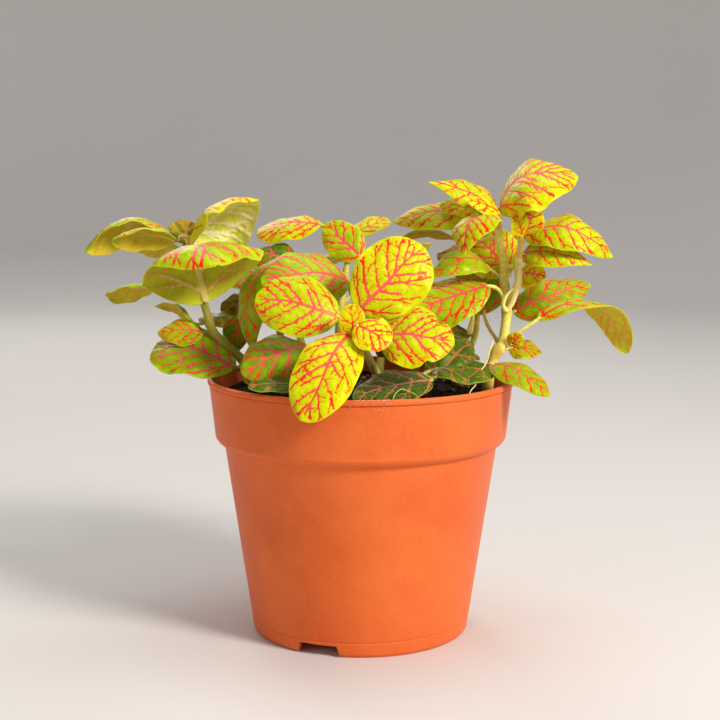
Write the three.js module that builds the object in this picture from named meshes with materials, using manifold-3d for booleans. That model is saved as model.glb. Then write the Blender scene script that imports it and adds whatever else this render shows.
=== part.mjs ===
// A potted nerve plant: leafy shoots in a filled 12 cm plastic nursery pot.
// Millimetres, +Z up. The origin is on the ground, on the pot's axis; -Y is the front.
import * as THREE from "three";
import { mergeVertices } from "three/addons/utils/BufferGeometryUtils.js";
import Module from "manifold-3d";

const wasm = await Module();
wasm.setup();

// ---------------------------------------------------------------- driving dimensions

const POT_HEIGHT = 101;
const RIM_RADIUS = 60.3;
const BEAD_FACE_HEIGHT = 1.1; // the upright face of the rim bead
const BEAD_TOP_ROUND = 0.7;
const BEAD_UNDERSIDE = 2.3; // below the pot's top
const BEAD_GROOVE = 0.3;
const BAND_TOP_RADIUS = 59.6;
const BAND_FOOT_RADIUS = 57.5;
const BAND_FOOT_HEIGHT = 79.5;
const BODY_TOP_RADIUS = 53.9;
const BODY_TOP_HEIGHT = 75.5;
const SHOULDER_STEP = 1.6; // the rounded shoulder between body and band
const SHOULDER_ROUND = 0.5;
const BODY_FOOT_RADIUS = 43.6;
const BODY_FOOT_HEIGHT = 6;
const FOOT_RADIUS = 42;
const FOOT_BEVEL = 0.9;
const FOOT_BEVEL_HEIGHT = 1.2;
const FOOT_RING_WIDTH = 2;
const WALL = 1.3;
const FLOOR_UNDERSIDE = 4.5;
const FLOOR_TOP = 6;
const POT_SIDES = 40;

const NOTCH_ANGLES = [-112, 8, 128]; // degrees from +X: one shows left of the front
const NOTCH_WIDTH = 18;
const NOTCH_HEIGHT = 4.5;
const NOTCH_SLANT = 1.5;
const NOTCH_CUT_DEPTH = 10;

const DRAIN_HOLES = 6;
const DRAIN_RADIUS = 4;
const DRAIN_CIRCLE = 28;
const DRAIN_SIDES = 12;

const CLEARANCE = 0.3;
const SOIL_EDGE_HEIGHT = 94.5;
const SOIL_CROWN_HEIGHT = 96.5;
const SOIL_CROWN_RADIUS = 30;
const SOIL_SIDES = 24;
const STEM_HOLE_CLEARANCE = 0.8;
const STEM_HOLE_SIDES = 8;

const BLADE_THICKNESS = 0.7;
const BLADE_STATIONS = [0.01, 0.17, 0.44, 0.76, 0.99];
const BLADE_LANES = [-1, -0.5, 0, 0.5, 1];
const SMALL_BLADE = 18; // narrower blades have fewer lanes
const SMALL_BLADE_LANES = [-1, 0, 1];
const BASE_ROUNDNESS = 0.55;
const CREST_SHARE = 0.45; // where along the chord the midrib bows out most
const MIDRIB_FOLD = 0.1;
const ARCH_DRAW_IN = 0.25; // how much an arched margin comes in towards the midrib
const TWIST_REST = 0.3; // the station where a twisted blade keeps its face direction
const MARGIN_WAVE = 0.03;
const WAVES = 2.2;
const WAVE_OFFSET = 1.1; // sets the waves of the two margins apart
const PETIOLE_RADIUS = 0.85;
const PETIOLE_ROOT_IN_BLADE = 1.2;
const PETIOLE_LEAVING = [0.25, 0.1]; // of its reach: toward the blade, and up
const PETIOLE_ARRIVING = 0.4;
const PETIOLE_SIDES = 3;
const PETIOLE_STEPS = 3;
const STEM_SIDES = 6;

const UP = new THREE.Vector3(0, 0, 1);

// ---------------------------------------------------------------- the leafy shoots

// A stem is a path from its foot in the soil to its tip, with a radius at each end.
// A leaf is [height on the stem where its petiole leaves, blade base, blade tip, width,
// the way its upper face looks as [azimuth, elevation], bow, arch, pointedness, twist].
// Bow is how far the midrib rises off its chord, as a share of the chord. Arch is how far
// the margins hang below the midrib, as a share of the half width. Twist is in degrees.
const STEMS = [
  {
    node: "shoot_left",
    path: [[-37, 2, 86], [-37, 2, 93], [-38, 2, 99], [-43, 0, 103], [-47, -2, 108],
      [-53, -3, 114], [-58, -2, 119], [-61, 0, 127], [-64, 3, 136], [-67, 5, 147],
      [-69, 6, 153]],
    radii: [2.4, 1.0],
    leaves: [
      [153, [-75, 12, 155.5], [-110, 14, 149], 21, [90, 58], 0.27, 0.6, 0.45, 0],
      [153, [-72.5, 4, 154], [-96, -6, 154.5], 16, [95, 48], 0.14, 0.55, 0.45, 0],
      [153, [-70, 10, 154.5], [-69, 13, 161.5], 15, [90, 10], 0.1, 0.2, 0.5, 0],
      [153, [-67, 3, 150.5], [-40.5, 8, 169.5], 40, [118, 54], 0.2, 0.6, 0.55, 0],
      [122, [-61, 0, 130], [-52.5, -36, 147], 55, [180, 75], 0.4, 0.42, 0.7, 20],
      [136, [-83, 12, 135], [-102.5, 17, 130.5], 14, [80, 60], 0.08, 0.5, 0.3, 0],
      [122, [-67, 3, 122], [-82, 8, 127.5], 14, [80, 60], 0.2, 0.3, 0.9, 0],
      [119, [-62, 0, 118], [-79.5, -3, 118], 16, [-85, 52], 0.1, 0.3, 0.7, 0],
      [107, [-49, -10, 105], [-80.5, 0, 113], 31, [-105, 60], 0.12, 0.2, 0.35, 0],
      [147, [-70.5, 8, 150], [-91.5, 20, 149.5], 14, [80, 50], 0.05, 0.2, 0.5, 0],
      [122, [-58.5, 5, 123], [-56, 28, 117], 17, [100, 60], 0.15, 0.3, 0.7, 0],
    ],
  },
  {
    node: "shoot_mid_left",
    path: [[-30, 12, 86], [-30, 12, 97], [-32, 12, 112], [-33, 11, 126], [-33, 8, 140]],
    radii: [2.0, 1.0],
    leaves: [
      [140, [-30.5, 1, 148], [-42, -9, 112], 21, [-140, 18], 0.26, 0.35, 0.7, 0],
      [118, [-49, 7.6, 124], [-50.5, 5.6, 109], 12, [-75, 10], 0.1, 0.2, 0.8, 0],
      [140, [-27, 12, 145], [-43.5, 21, 148], 17, [-90, 40], 0.1, 0.3, 0.7, 0],
      [128, [-38, 14, 128.5], [-57, 24, 123.5], 22, [90, 60], 0.15, 0.3, 0.7, 0],
    ],
  },
  {
    node: "shoot_middle",
    path: [[-8, 12, 86], [-8, 12, 97], [-9, 11, 112], [-8, 11, 128], [-6, 12, 142],
      [-5, 13, 149]],
    radii: [2.2, 1.0],
    leaves: [
      [149, [-16, 20, 159.5], [-42, 28, 157], 22, [-90, 60], 0.07, 0.35, 0.35, -10],
      [149, [0, 11, 147], [-14.5, 16, 160], 16.5, [-90, 15], 0.06, 0.2, 0.6, 0],
      [149, [-4, 21, 154.5], [11, 28, 161.5], 11.5, [-120, 45], 0.06, 0.1, 0.35, 0],
      [138, [-4.5, -9, 139], [-38, -16, 139.5], 32, [-80, 48], 0.14, 0.32, 0.45, 0],
      [128, [-4, 15, 131], [12, 24, 138], 18, [-70, 60], 0.15, 0.3, 0.7, 0],
    ],
  },
  {
    node: "shoot_front",
    path: [[8, -10, 86], [8, -10, 92], [8, -11, 98], [6, -15, 104], [4, -22, 109], [2, -28, 114],
      [0, -34, 120], [-2, -38, 125]],
    radii: [2.2, 1.1],
    leaves: [
      [122, [-1, -34, 130], [23, -27, 153.5], 30, [-90, 15], 0.08, 0.2, 0.45, 0],
      [122, [-8, -35, 128], [-39, -33, 135], 26, [-90, 30], 0.1, 0.25, 0.5, 0],
      [120, [-4, -42, 123], [-20, -64, 94], 25.5, [-100, 28], 0.14, 0.25, 0.5, 0],
      [119, [7, -37, 121], [34, -43, 119.5], 27, [-85, 35], 0.12, 0.2, 0.6, 0],
      [125, [-3, -42, 122], [-4, -46, 134], 10, [-80, 15], 0.08, 0.1, 0.5, 0],
      [125, [-2, -45, 126], [10, -51, 119.5], 16.5, [-75, 35], 0.12, 0.2, 0.5, 0],
    ],
  },
  {
    node: "shoot_centre",
    path: [[22, 2, 86], [22, 2, 97], [21, 0, 110], [19, -3, 122], [18, -5, 131]],
    radii: [1.8, 1.0],
    leaves: [
      [131, [14, -9, 134], [2, -22, 139], 17, [-120, 60], 0.1, 0.25, 0.6, 0],
      [131, [18, 0, 135], [20, 14, 142], 17, [80, 60], 0.12, 0.25, 0.6, 0],
      [122, [14, -1, 123], [-2, 3, 120], 18, [-100, 60], 0.12, 0.25, 0.6, 0],
      [116, [22, 7, 116], [24, 17, 108], 12, [60, 50], 0.15, 0.25, 0.7, 0],
      [110, [18, 5, 110], [8, 18, 106], 17, [110, 60], 0.15, 0.25, 0.7, 0],
    ],
  },
  {
    node: "shoot_low_left",
    path: [[-18, -18, 86], [-18, -18, 97], [-19, -20, 104], [-20, -22, 111]],
    radii: [2.0, 1.2],
    leaves: [
      [111, [-20, -26, 116], [-44, -37, 107], 27, [-95, 45], 0.1, 0.35, 0.6, 0],
      [104, [-22.5, -42, 103], [-41, -47, 103.5], 12, [-85, 68], 0.08, 0.15, 0.6, 0],
      [108, [-27, -24, 108], [-44, -28, 103], 14, [-95, 55], 0.1, 0.25, 0.6, 0],
      [108, [-24, -14, 110], [-40, 0, 106], 15, [110, 60], 0.15, 0.25, 0.6, 0],
    ],
  },
  {
    node: "shoot_low_front",
    path: [[24, -22, 86], [24, -22, 97], [24, -25, 102], [23, -27, 105]],
    radii: [1.8, 1.2],
    leaves: [
      [105, [26.5, -33, 104], [-3, -42, 98.5], 20, [-85, 62], 0.06, 0.15, 0.6, 0],
      [105, [29.5, -16, 103.5], [43.5, -1, 114.5], 16, [-100, 15], 0.15, 0.25, 0.7, 0],
      [105, [28, -24, 107], [40, -34, 103], 13, [-60, 60], 0.15, 0.25, 0.7, 0],
    ],
  },
  {
    node: "shoot_right",
    path: [[50, -3, 86], [50, -3, 97], [52, -4, 109], [55, -4, 114], [57, -2, 127],
      [56, 0, 137], [56, 2, 145], [54, 2, 155], [53, 2, 164]],
    radii: [2.3, 1.3],
    leaves: [
      [163, [54, 2, 166], [83, -6, 179], 41, [-75, 60], 0.29, 0.35, 0.55, 0],
      [164, [53, 1, 166.5], [26, -4, 177], 17, [-80, 45], 0.1, 0.3, 1.1, 0],
      [163, [53, -8, 165], [39, -18, 170.5], 13, [-80, 40], 0.1, 0.2, 0.9, 0],
      [163, [49.5, -10, 164], [38.5, -24, 150.5], 25, [-140, 45], 0.28, 0.35, 0.85, 0],
      [160, [45, 6, 165], [31, 9, 168], 9, [-90, 40], 0.1, 0.2, 0.6, 0],
      [158, [46, 10, 163.5], [13, 15, 161], 20, [-85, 55], 0.1, 0.3, 0.7, 0],
      [155, [38, 18, 154], [14, 22, 153.5], 12, [90, 70], 0.12, 0.2, 0.8, 0],
      [141, [59, 8, 141], [45, 16, 157], 24, [-90, 20], 0.06, 0.2, 0.6, 0],
      [139, [49.5, 2, 144], [26.5, -14, 141.5], 15, [-88, 45], 0.24, 0.3, 0.7, 0],
      [113, [49, 7, 125], [46.5, 11, 145.5], 24, [-90, 5], 0.08, 0.2, 0.5, 0],
      [127, [49.5, -9, 137.5], [18.5, -16, 126.5], 24, [-90, 50], 0.05, 0.3, 0.4, 30],
      [127, [60.5, 8, 125.5], [92, 15, 136], 19, [-90, 38], 0.08, 0.3, 0.7, 0],
      [112, [69, -4, 124], [106, 8, 109], 18.5, [-85, 82], 0.33, 0.2, 0.55, 80],
      [110, [58.5, 0, 112], [71, -3, 110.5], 12, [-80, 50], 0.1, 0.2, 0.8, 0],
      [112, [58, -6, 114], [62, -9, 119], 7, [-70, 20], 0.1, 0.2, 0.5, 0],
      [105, [50, -14, 107.5], [70.5, -32, 98], 16.5, [-70, 55], 0.12, 0.3, 0.7, 0],
      [104, [50, -11, 106], [38, -29, 102], 13, [-85, 50], 0.12, 0.2, 0.7, 0],
      [145, [60, 9, 144], [66, 31, 146], 18, [90, 60], 0.15, 0.3, 0.7, 0],
    ],
  },
  {
    node: "shoot_right",
    path: [[57, -2, 129], [61, -4, 138], [61, -4, 145], [62, -4, 153], [62, -4, 156]],
    radii: [1.6, 1.1],
    leaves: [
      [156, [61.5, -9, 156], [58.5, -13, 165.5], 9, [-70, 15], 0.1, 0.1, 0.6, 0],
      [156, [62.5, -8, 156.5], [67.5, -9, 167.5], 12.5, [-110, 15], 0.1, 0.1, 0.6, 0],
      [155, [63, -6, 156.5], [95.5, -14, 149], 21, [-85, 48], 0.27, 0.3, 0.7, 0],
      [148, [62, -9, 149.5], [87.5, -17, 146], 14.5, [-85, 35], 0.18, 0.2, 1, 0],
      [142, [62.5, 1, 142], [72, -4, 140.5], 14, [-90, 30], 0.05, 0.1, 0.9, 0],
    ],
  },
  {
    node: "shoot_right_back",
    path: [[40, 12, 86], [40, 12, 97], [43, 12, 108], [46, 12, 116], [47, 14, 126]],
    radii: [1.8, 1.0],
    leaves: [
      [108, [39.5, 23, 111], [26.5, 12, 99], 14, [-70, 35], 0.1, 0.2, 0.7, 0],
      [126, [50.5, 17, 142.5], [31, 24, 147.5], 22, [-80, 45], 0.12, 0.25, 0.7, 0],
      [126, [50, 18, 130], [58, 32, 137], 15, [90, 50], 0.12, 0.25, 0.7, 0],
      [116, [43.5, 13, 115.5], [32, 11, 118.5], 8, [-90, 55], 0.12, 0.2, 0.7, 0],
    ],
  },
  {
    node: "shoot_rear_left",
    path: [[-22, 34, 86], [-22, 34, 97], [-25, 37, 110], [-28, 40, 122], [-29, 41, 134]],
    radii: [2.0, 1.0],
    leaves: [
      [134, [-34, 45, 138], [-54, 56, 142], 22, [130, 50], 0.12, 0.3, 0.6, 0],
      [134, [-28, 48, 132], [-20, 65, 136], 20, [90, 55], 0.15, 0.3, 0.6, 0],
      [134, [-23, 41, 139], [-4, 47, 146], 18, [50, 60], 0.12, 0.3, 0.6, 0],
      [134, [-33, 36, 134], [-56, 34, 135], 17, [-110, 60], 0.12, 0.3, 0.6, 0],
      [120, [-31, 44, 121], [-50, 58, 116], 22, [120, 50], 0.15, 0.3, 0.6, 0],
      [120, [-25, 44, 121], [-14, 61, 114], 20, [80, 45], 0.15, 0.3, 0.6, 0],
      [106, [-26, 40, 106], [-42, 50, 104], 16, [110, 60], 0.15, 0.3, 0.6, 0],
    ],
  },
  {
    node: "shoot_rear",
    path: [[8, 36, 86], [8, 36, 97], [9, 40, 110], [10, 43, 124], [10, 45, 138]],
    radii: [2.0, 1.0],
    leaves: [
      [138, [15, 47, 143], [30, 56, 149], 20, [60, 50], 0.12, 0.3, 0.6, 0],
      [138, [8, 50, 138], [3, 64, 143], 20, [100, 40], 0.15, 0.3, 0.6, 0],
      [138, [13, 42, 141], [30, 36, 140], 18, [-60, 60], 0.12, 0.3, 0.6, 0],
      [124, [14, 47, 124], [31, 59, 120], 21, [50, 50], 0.15, 0.3, 0.6, 0],
      [124, [6, 47, 124], [-6, 62, 119], 20, [120, 50], 0.15, 0.3, 0.6, 0],
      [110, [13, 41, 110], [30, 48, 106], 17, [40, 60], 0.15, 0.3, 0.6, 0],
      [108, [6, 43, 107], [1, 61, 104], 18, [100, 60], 0.15, 0.3, 0.6, 0],
    ],
  },
  {
    node: "shoot_rear_right",
    path: [[34, 30, 86], [35, 30, 97], [42, 33, 108], [47, 36, 120], [48, 37, 130]],
    radii: [1.8, 1.0],
    leaves: [
      [130, [48, 41, 135], [61, 53, 139], 19, [50, 50], 0.12, 0.3, 0.6, 0],
      [130, [41, 45, 131], [39, 61, 133], 17, [105, 50], 0.12, 0.3, 0.6, 0],
      [112, [39, 40, 112], [36, 58, 107], 18, [95, 50], 0.15, 0.3, 0.6, 0],
      [104, [38, 36, 104], [50, 46, 101], 13, [50, 60], 0.15, 0.3, 0.6, 0],
    ],
  },
];

// ---------------------------------------------------------------- solids and meshes

function solidOf(geometry) {
  const bare = new THREE.BufferGeometry();
  bare.setAttribute("position", geometry.getAttribute("position"));
  bare.setIndex(geometry.index);
  const merged = mergeVertices(bare, 1e-4);
  const corners = merged.index.array;
  const kept = [];
  for (let i = 0; i < corners.length; i += 3) {
    const [a, b, c] = [corners[i], corners[i + 1], corners[i + 2]];
    if (a !== b && b !== c && c !== a) kept.push(a, b, c);
  }
  return new wasm.Manifold(
    new wasm.Mesh({
      numProp: 3,
      vertProperties: merged.attributes.position.array,
      triVerts: new Uint32Array(kept),
    }),
  );
}

function meshOf(name, solid, look) {
  const made = solid.getMesh();
  const points = new Float32Array(made.numVert * 3);
  for (let i = 0; i < made.numVert; i += 1) {
    const start = i * made.numProp;
    points.set(made.vertProperties.subarray(start, start + 3), i * 3);
  }
  const geometry = new THREE.BufferGeometry();
  geometry.setAttribute("position", new THREE.BufferAttribute(points, 3));
  geometry.setIndex(new THREE.BufferAttribute(made.triVerts, 1));
  geometry.computeVertexNormals();
  const mesh = new THREE.Mesh(geometry, new THREE.MeshStandardMaterial(look));
  mesh.name = name;
  return mesh;
}

// A closed body turned about the Z axis from [radius, height] points that run from the
// axis out along the underside, up the outside and back to the axis over the top.
function turned(profile, sides) {
  const points = profile.map(([radius, height]) => new THREE.Vector2(radius, height));
  return solidOf(new THREE.LatheGeometry(points, sides).rotateX(Math.PI / 2));
}

// A closed skin over rows of points: each row is a closed loop, and both ends are capped.
function skinned(rows) {
  const across = rows[0].length;
  const positions = rows.flat().flatMap((point) => [point.x, point.y, point.z]);
  const index = [];
  for (let i = 0; i + 1 < rows.length; i += 1) {
    for (let j = 0; j < across; j += 1) {
      const a = i * across + j;
      const b = i * across + ((j + 1) % across);
      index.push(a, b, b + across, a, b + across, a + across);
    }
  }
  const last = (rows.length - 1) * across;
  for (let j = 1; j + 1 < across; j += 1) {
    index.push(0, j + 1, j);
    index.push(last, last + j, last + j + 1);
  }
  const geometry = new THREE.BufferGeometry();
  geometry.setAttribute("position", new THREE.Float32BufferAttribute(positions, 3));
  geometry.setIndex(index);
  return solidOf(geometry);
}

// A round rod along a curve, from one radius to another.
function rod(curve, steps, sides, radii) {
  const frames = curve.computeFrenetFrames(steps, false);
  const rows = [];
  for (let i = 0; i <= steps; i += 1) {
    const centre = curve.getPointAt(i / steps);
    const radius = THREE.MathUtils.lerp(radii[0], radii[1], i / steps);
    const row = [];
    for (let j = 0; j < sides; j += 1) {
      const angle = (2 * Math.PI * j) / sides;
      const point = centre.clone();
      point.addScaledVector(frames.normals[i], radius * Math.cos(angle));
      point.addScaledVector(frames.binormals[i], radius * Math.sin(angle));
      row.push(point);
    }
    rows.push(row);
  }
  return skinned(rows);
}

// ---------------------------------------------------------------- pot and soil

const OUTSIDE = [
  [FOOT_RADIUS, 0],
  [FOOT_RADIUS + FOOT_BEVEL, FOOT_BEVEL_HEIGHT],
  [BODY_FOOT_RADIUS, BODY_FOOT_HEIGHT],
  [BODY_TOP_RADIUS, BODY_TOP_HEIGHT],
  [BODY_TOP_RADIUS + SHOULDER_STEP, BODY_TOP_HEIGHT + SHOULDER_ROUND],
  [BAND_FOOT_RADIUS - SHOULDER_ROUND, BAND_FOOT_HEIGHT - SHOULDER_STEP],
  [BAND_FOOT_RADIUS, BAND_FOOT_HEIGHT],
  [BAND_TOP_RADIUS, POT_HEIGHT - BEAD_UNDERSIDE - BEAD_GROOVE],
  [BAND_TOP_RADIUS - BEAD_GROOVE, POT_HEIGHT - BEAD_UNDERSIDE],
  [RIM_RADIUS, POT_HEIGHT - BEAD_TOP_ROUND - BEAD_FACE_HEIGHT],
  [RIM_RADIUS, POT_HEIGHT - BEAD_TOP_ROUND],
  [RIM_RADIUS - BEAD_TOP_ROUND, POT_HEIGHT],
];

const INSIDE = [
  [BAND_TOP_RADIUS + BEAD_GROOVE - WALL, POT_HEIGHT],
  [BAND_TOP_RADIUS - WALL, POT_HEIGHT - WALL],
  [BAND_FOOT_RADIUS - WALL, BAND_FOOT_HEIGHT],
  [BODY_TOP_RADIUS - WALL, BODY_TOP_HEIGHT],
  [BODY_FOOT_RADIUS - WALL, FLOOR_TOP],
];

function pot() {
  const ringInside = FOOT_RADIUS - FOOT_RING_WIDTH;
  let body = turned(
    [
      [0, FLOOR_UNDERSIDE],
      [ringInside, FLOOR_UNDERSIDE],
      [ringInside, 0],
      ...OUTSIDE,
      ...INSIDE,
      [0, FLOOR_TOP],
    ],
    POT_SIDES,
  );
  const half = NOTCH_WIDTH / 2;
  const outline = new THREE.Shape([
    new THREE.Vector2(-half, -1),
    new THREE.Vector2(half, -1),
    new THREE.Vector2(half - NOTCH_SLANT, NOTCH_HEIGHT),
    new THREE.Vector2(NOTCH_SLANT - half, NOTCH_HEIGHT),
  ]);
  for (const angle of NOTCH_ANGLES) {
    const cutter = new THREE.ExtrudeGeometry(outline, {
      depth: NOTCH_CUT_DEPTH,
      bevelEnabled: false,
    });
    cutter.rotateX(Math.PI / 2);
    cutter.translate(0, FOOT_RADIUS + NOTCH_CUT_DEPTH / 2, 0);
    cutter.rotateZ(THREE.MathUtils.degToRad(angle - 90));
    body = body.subtract(solidOf(cutter));
  }
  for (let i = 0; i < DRAIN_HOLES; i += 1) {
    const angle = (2 * Math.PI * i) / DRAIN_HOLES;
    const drill = new THREE.CylinderGeometry(
      DRAIN_RADIUS,
      DRAIN_RADIUS,
      FLOOR_TOP,
      DRAIN_SIDES,
    );
    drill.rotateX(Math.PI / 2);
    drill.translate(
      DRAIN_CIRCLE * Math.cos(angle),
      DRAIN_CIRCLE * Math.sin(angle),
      (FLOOR_UNDERSIDE + FLOOR_TOP) / 2,
    );
    body = body.subtract(solidOf(drill));
  }
  return body;
}

function soil() {
  const facets = 1 / Math.cos(Math.PI / POT_SIDES); // the wall's flats lie inside its corners
  const fit = (radius) => (radius - WALL) / facets - CLEARANCE;
  const edgeRadius = THREE.MathUtils.mapLinear(
    SOIL_EDGE_HEIGHT,
    BAND_FOOT_HEIGHT,
    POT_HEIGHT,
    BAND_FOOT_RADIUS,
    BAND_TOP_RADIUS,
  );
  let body = turned(
    [
      [0, FLOOR_TOP + CLEARANCE],
      [fit(BODY_FOOT_RADIUS), FLOOR_TOP + CLEARANCE],
      [fit(BODY_TOP_RADIUS), BODY_TOP_HEIGHT],
      [fit(BAND_FOOT_RADIUS), BAND_FOOT_HEIGHT],
      [fit(edgeRadius), SOIL_EDGE_HEIGHT],
      [SOIL_CROWN_RADIUS, SOIL_CROWN_HEIGHT],
      [0, SOIL_CROWN_HEIGHT],
    ],
    SOIL_SIDES,
  );
  const feet = STEMS.filter((stem) => stem.path[0][2] < SOIL_EDGE_HEIGHT);
  for (const stem of feet) {
    const [x, y, foot] = stem.path[0];
    const radius = stem.radii[0] + STEM_HOLE_CLEARANCE;
    const length = POT_HEIGHT - foot;
    const drill = new THREE.CylinderGeometry(radius, radius, length, STEM_HOLE_SIDES);
    drill.rotateX(Math.PI / 2);
    drill.translate(x, y, foot - CLEARANCE + length / 2);
    body = body.subtract(solidOf(drill));
  }
  return body;
}

// ---------------------------------------------------------------- leaves and stems

function vector([x, y, z]) {
  return new THREE.Vector3(x, y, z);
}

function headingOf([azimuth, elevation]) {
  const turn = THREE.MathUtils.degToRad(azimuth);
  const tilt = THREE.MathUtils.degToRad(elevation);
  const flat = Math.cos(tilt);
  return new THREE.Vector3(flat * Math.cos(turn), flat * Math.sin(turn), Math.sin(tilt));
}

// The midrib is a bowed curve from the blade's base to its tip, and the upper face looks
// along the face direction, made square to the chord.
function midribOf([, from, to, , face, bow]) {
  const base = vector(from);
  const tip = vector(to);
  const chord = tip.clone().sub(base);
  const along = chord.clone().normalize();
  const upper = headingOf(face);
  upper.addScaledVector(along, -upper.dot(along)).normalize();
  const crest = base.clone().addScaledVector(chord, CREST_SHARE);
  crest.addScaledVector(upper, 2 * bow * chord.length());
  return { curve: new THREE.QuadraticBezierCurve3(base, crest, tip), upper };
}

function halfWidth(station, width, pointedness) {
  const widest = BASE_ROUNDNESS / (BASE_ROUNDNESS + pointedness);
  const shape = (s) => s ** BASE_ROUNDNESS * (1 - s) ** pointedness;
  return (0.5 * width * shape(station)) / shape(widest);
}

// One point of the blade's middle surface: station runs from base to tip, lane from edge to edge.
function bladePoint(leaf, midrib, station, lane) {
  const [, , , width, , , arch, pointedness, twist] = leaf;
  const { curve, upper } = midrib;
  const along = curve.getTangent(station);
  const side = along.clone().cross(upper).normalize();
  const normal = side.clone().cross(along);
  const turn = THREE.MathUtils.degToRad(twist) * (station - TWIST_REST);
  const half = halfWidth(station, width, pointedness);
  const reach = Math.abs(lane);
  const across = half * lane * (1 - ARCH_DRAW_IN * Math.abs(arch) * reach ** 2);
  const start = WAVE_OFFSET * Math.sign(lane) + curve.v0.distanceTo(curve.v2);
  const swing = Math.sin(2 * Math.PI * WAVES * station + start);
  const wave = MARGIN_WAVE * width * swing * reach ** 3 * Math.sqrt((2 * half) / width);
  const rise = half * (MIDRIB_FOLD * reach - arch * lane ** 2) + wave;
  const point = curve.getPoint(station);
  point.addScaledVector(side, across * Math.cos(turn) - rise * Math.sin(turn));
  point.addScaledVector(normal, across * Math.sin(turn) + rise * Math.cos(turn));
  return point;
}

function blade(leaf) {
  const midrib = midribOf(leaf);
  const lanes = leaf[3] < SMALL_BLADE ? SMALL_BLADE_LANES : BLADE_LANES;
  const pointAt = (station, lane) => bladePoint(leaf, midrib, station, lane);
  const step = 0.01;
  const rows = BLADE_STATIONS.map((station) => {
    const top = [];
    const under = [];
    for (const lane of lanes) {
      const centre = pointAt(station, lane);
      const along = pointAt(station + step / 2, lane).sub(pointAt(station - step / 2, lane));
      const across = pointAt(station, lane + step).sub(pointAt(station, lane - step));
      const normal = across.cross(along).normalize();
      top.push(centre.clone().addScaledVector(normal, BLADE_THICKNESS / 2));
      under.push(centre.clone().addScaledVector(normal, -BLADE_THICKNESS / 2));
    }
    return { top, under };
  });
  return plate(rows);
}

// A thin plate with its two faces split into triangles alike.
function plate(rows) {
  const lanes = rows[0].top.length;
  const positions = rows
    .flatMap(({ top, under }) => [...top, ...under])
    .flatMap((point) => [point.x, point.y, point.z]);
  const index = [];
  const topAt = (row, lane) => row * 2 * lanes + lane;
  const underAt = (row, lane) => topAt(row, lane) + lanes;
  const last = rows.length - 1;
  for (let i = 0; i < last; i += 1) {
    for (let j = 0; j + 1 < lanes; j += 1) {
      index.push(topAt(i, j), topAt(i, j + 1), topAt(i + 1, j + 1));
      index.push(topAt(i, j), topAt(i + 1, j + 1), topAt(i + 1, j));
      index.push(underAt(i, j), underAt(i + 1, j + 1), underAt(i, j + 1));
      index.push(underAt(i, j), underAt(i + 1, j), underAt(i + 1, j + 1));
    }
    const edge = lanes - 1;
    index.push(topAt(i, 0), topAt(i + 1, 0), underAt(i + 1, 0));
    index.push(topAt(i, 0), underAt(i + 1, 0), underAt(i, 0));
    index.push(topAt(i, edge), underAt(i + 1, edge), topAt(i + 1, edge));
    index.push(topAt(i, edge), underAt(i, edge), underAt(i + 1, edge));
  }
  for (let j = 0; j + 1 < lanes; j += 1) {
    index.push(topAt(0, j), underAt(0, j), underAt(0, j + 1));
    index.push(topAt(0, j), underAt(0, j + 1), topAt(0, j + 1));
    index.push(topAt(last, j), underAt(last, j + 1), underAt(last, j));
    index.push(topAt(last, j), topAt(last, j + 1), underAt(last, j + 1));
  }
  const geometry = new THREE.BufferGeometry();
  geometry.setAttribute("position", new THREE.Float32BufferAttribute(positions, 3));
  geometry.setIndex(index);
  return solidOf(geometry);
}

function stemCurve(path) {
  return new THREE.CatmullRomCurve3(path.map(vector), false, "centripetal");
}

function pointAtHeight(path, height) {
  const upper = Math.max(1, path.findIndex((point) => point[2] >= height));
  const below = path[upper - 1];
  const above = path[upper];
  const share = (height - below[2]) / (above[2] - below[2]);
  return vector(below).lerp(vector(above), Math.min(1, share));
}

function petiole(leaf, path) {
  const start = pointAtHeight(path, leaf[0]);
  const { curve } = midribOf(leaf);
  const heading = curve.getTangent(0);
  const base = curve.v0;
  const reach = base.distanceTo(start);
  const [onward, lift] = PETIOLE_LEAVING;
  const leaving = start.clone().lerp(base, onward).addScaledVector(UP, lift * reach);
  const arriving = base.clone().addScaledVector(heading, -PETIOLE_ARRIVING * reach);
  const end = base.clone().addScaledVector(heading, PETIOLE_ROOT_IN_BLADE);
  const route = new THREE.CubicBezierCurve3(start, leaving, arriving, end);
  return rod(route, PETIOLE_STEPS, PETIOLE_SIDES, [PETIOLE_RADIUS, PETIOLE_RADIUS]);
}

function leafyStem(stem) {
  const curve = stemCurve(stem.path);
  let body = rod(curve, stem.path.length, STEM_SIDES, stem.radii);
  for (const leaf of stem.leaves) {
    body = body.add(petiole(leaf, stem.path)).add(blade(leaf));
  }
  return body;
}

// ---------------------------------------------------------------- the plant in its pot

const POT_LOOK = { color: 0xdb6a3c, roughness: 0.55, metalness: 0 };
const SOIL_LOOK = { color: 0x1f1611, roughness: 0.95, metalness: 0 };
const LEAF_LOOK = { color: 0xc3d20c, roughness: 0.5, metalness: 0 };

const group = new THREE.Group();
group.add(meshOf("pot", pot(), POT_LOOK));
group.add(meshOf("soil", soil(), SOIL_LOOK));

const shoots = new Map();
for (const stem of STEMS) {
  const grown = leafyStem(stem);
  const before = shoots.get(stem.node);
  shoots.set(stem.node, before ? before.add(grown) : grown);
}
for (const [name, solid] of shoots) {
  group.add(meshOf(name, solid, LEAF_LOOK));
}

export default group;
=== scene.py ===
import math
from collections import namedtuple

import bpy
import numpy as np
from mathutils import Matrix, Vector, noise


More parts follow.
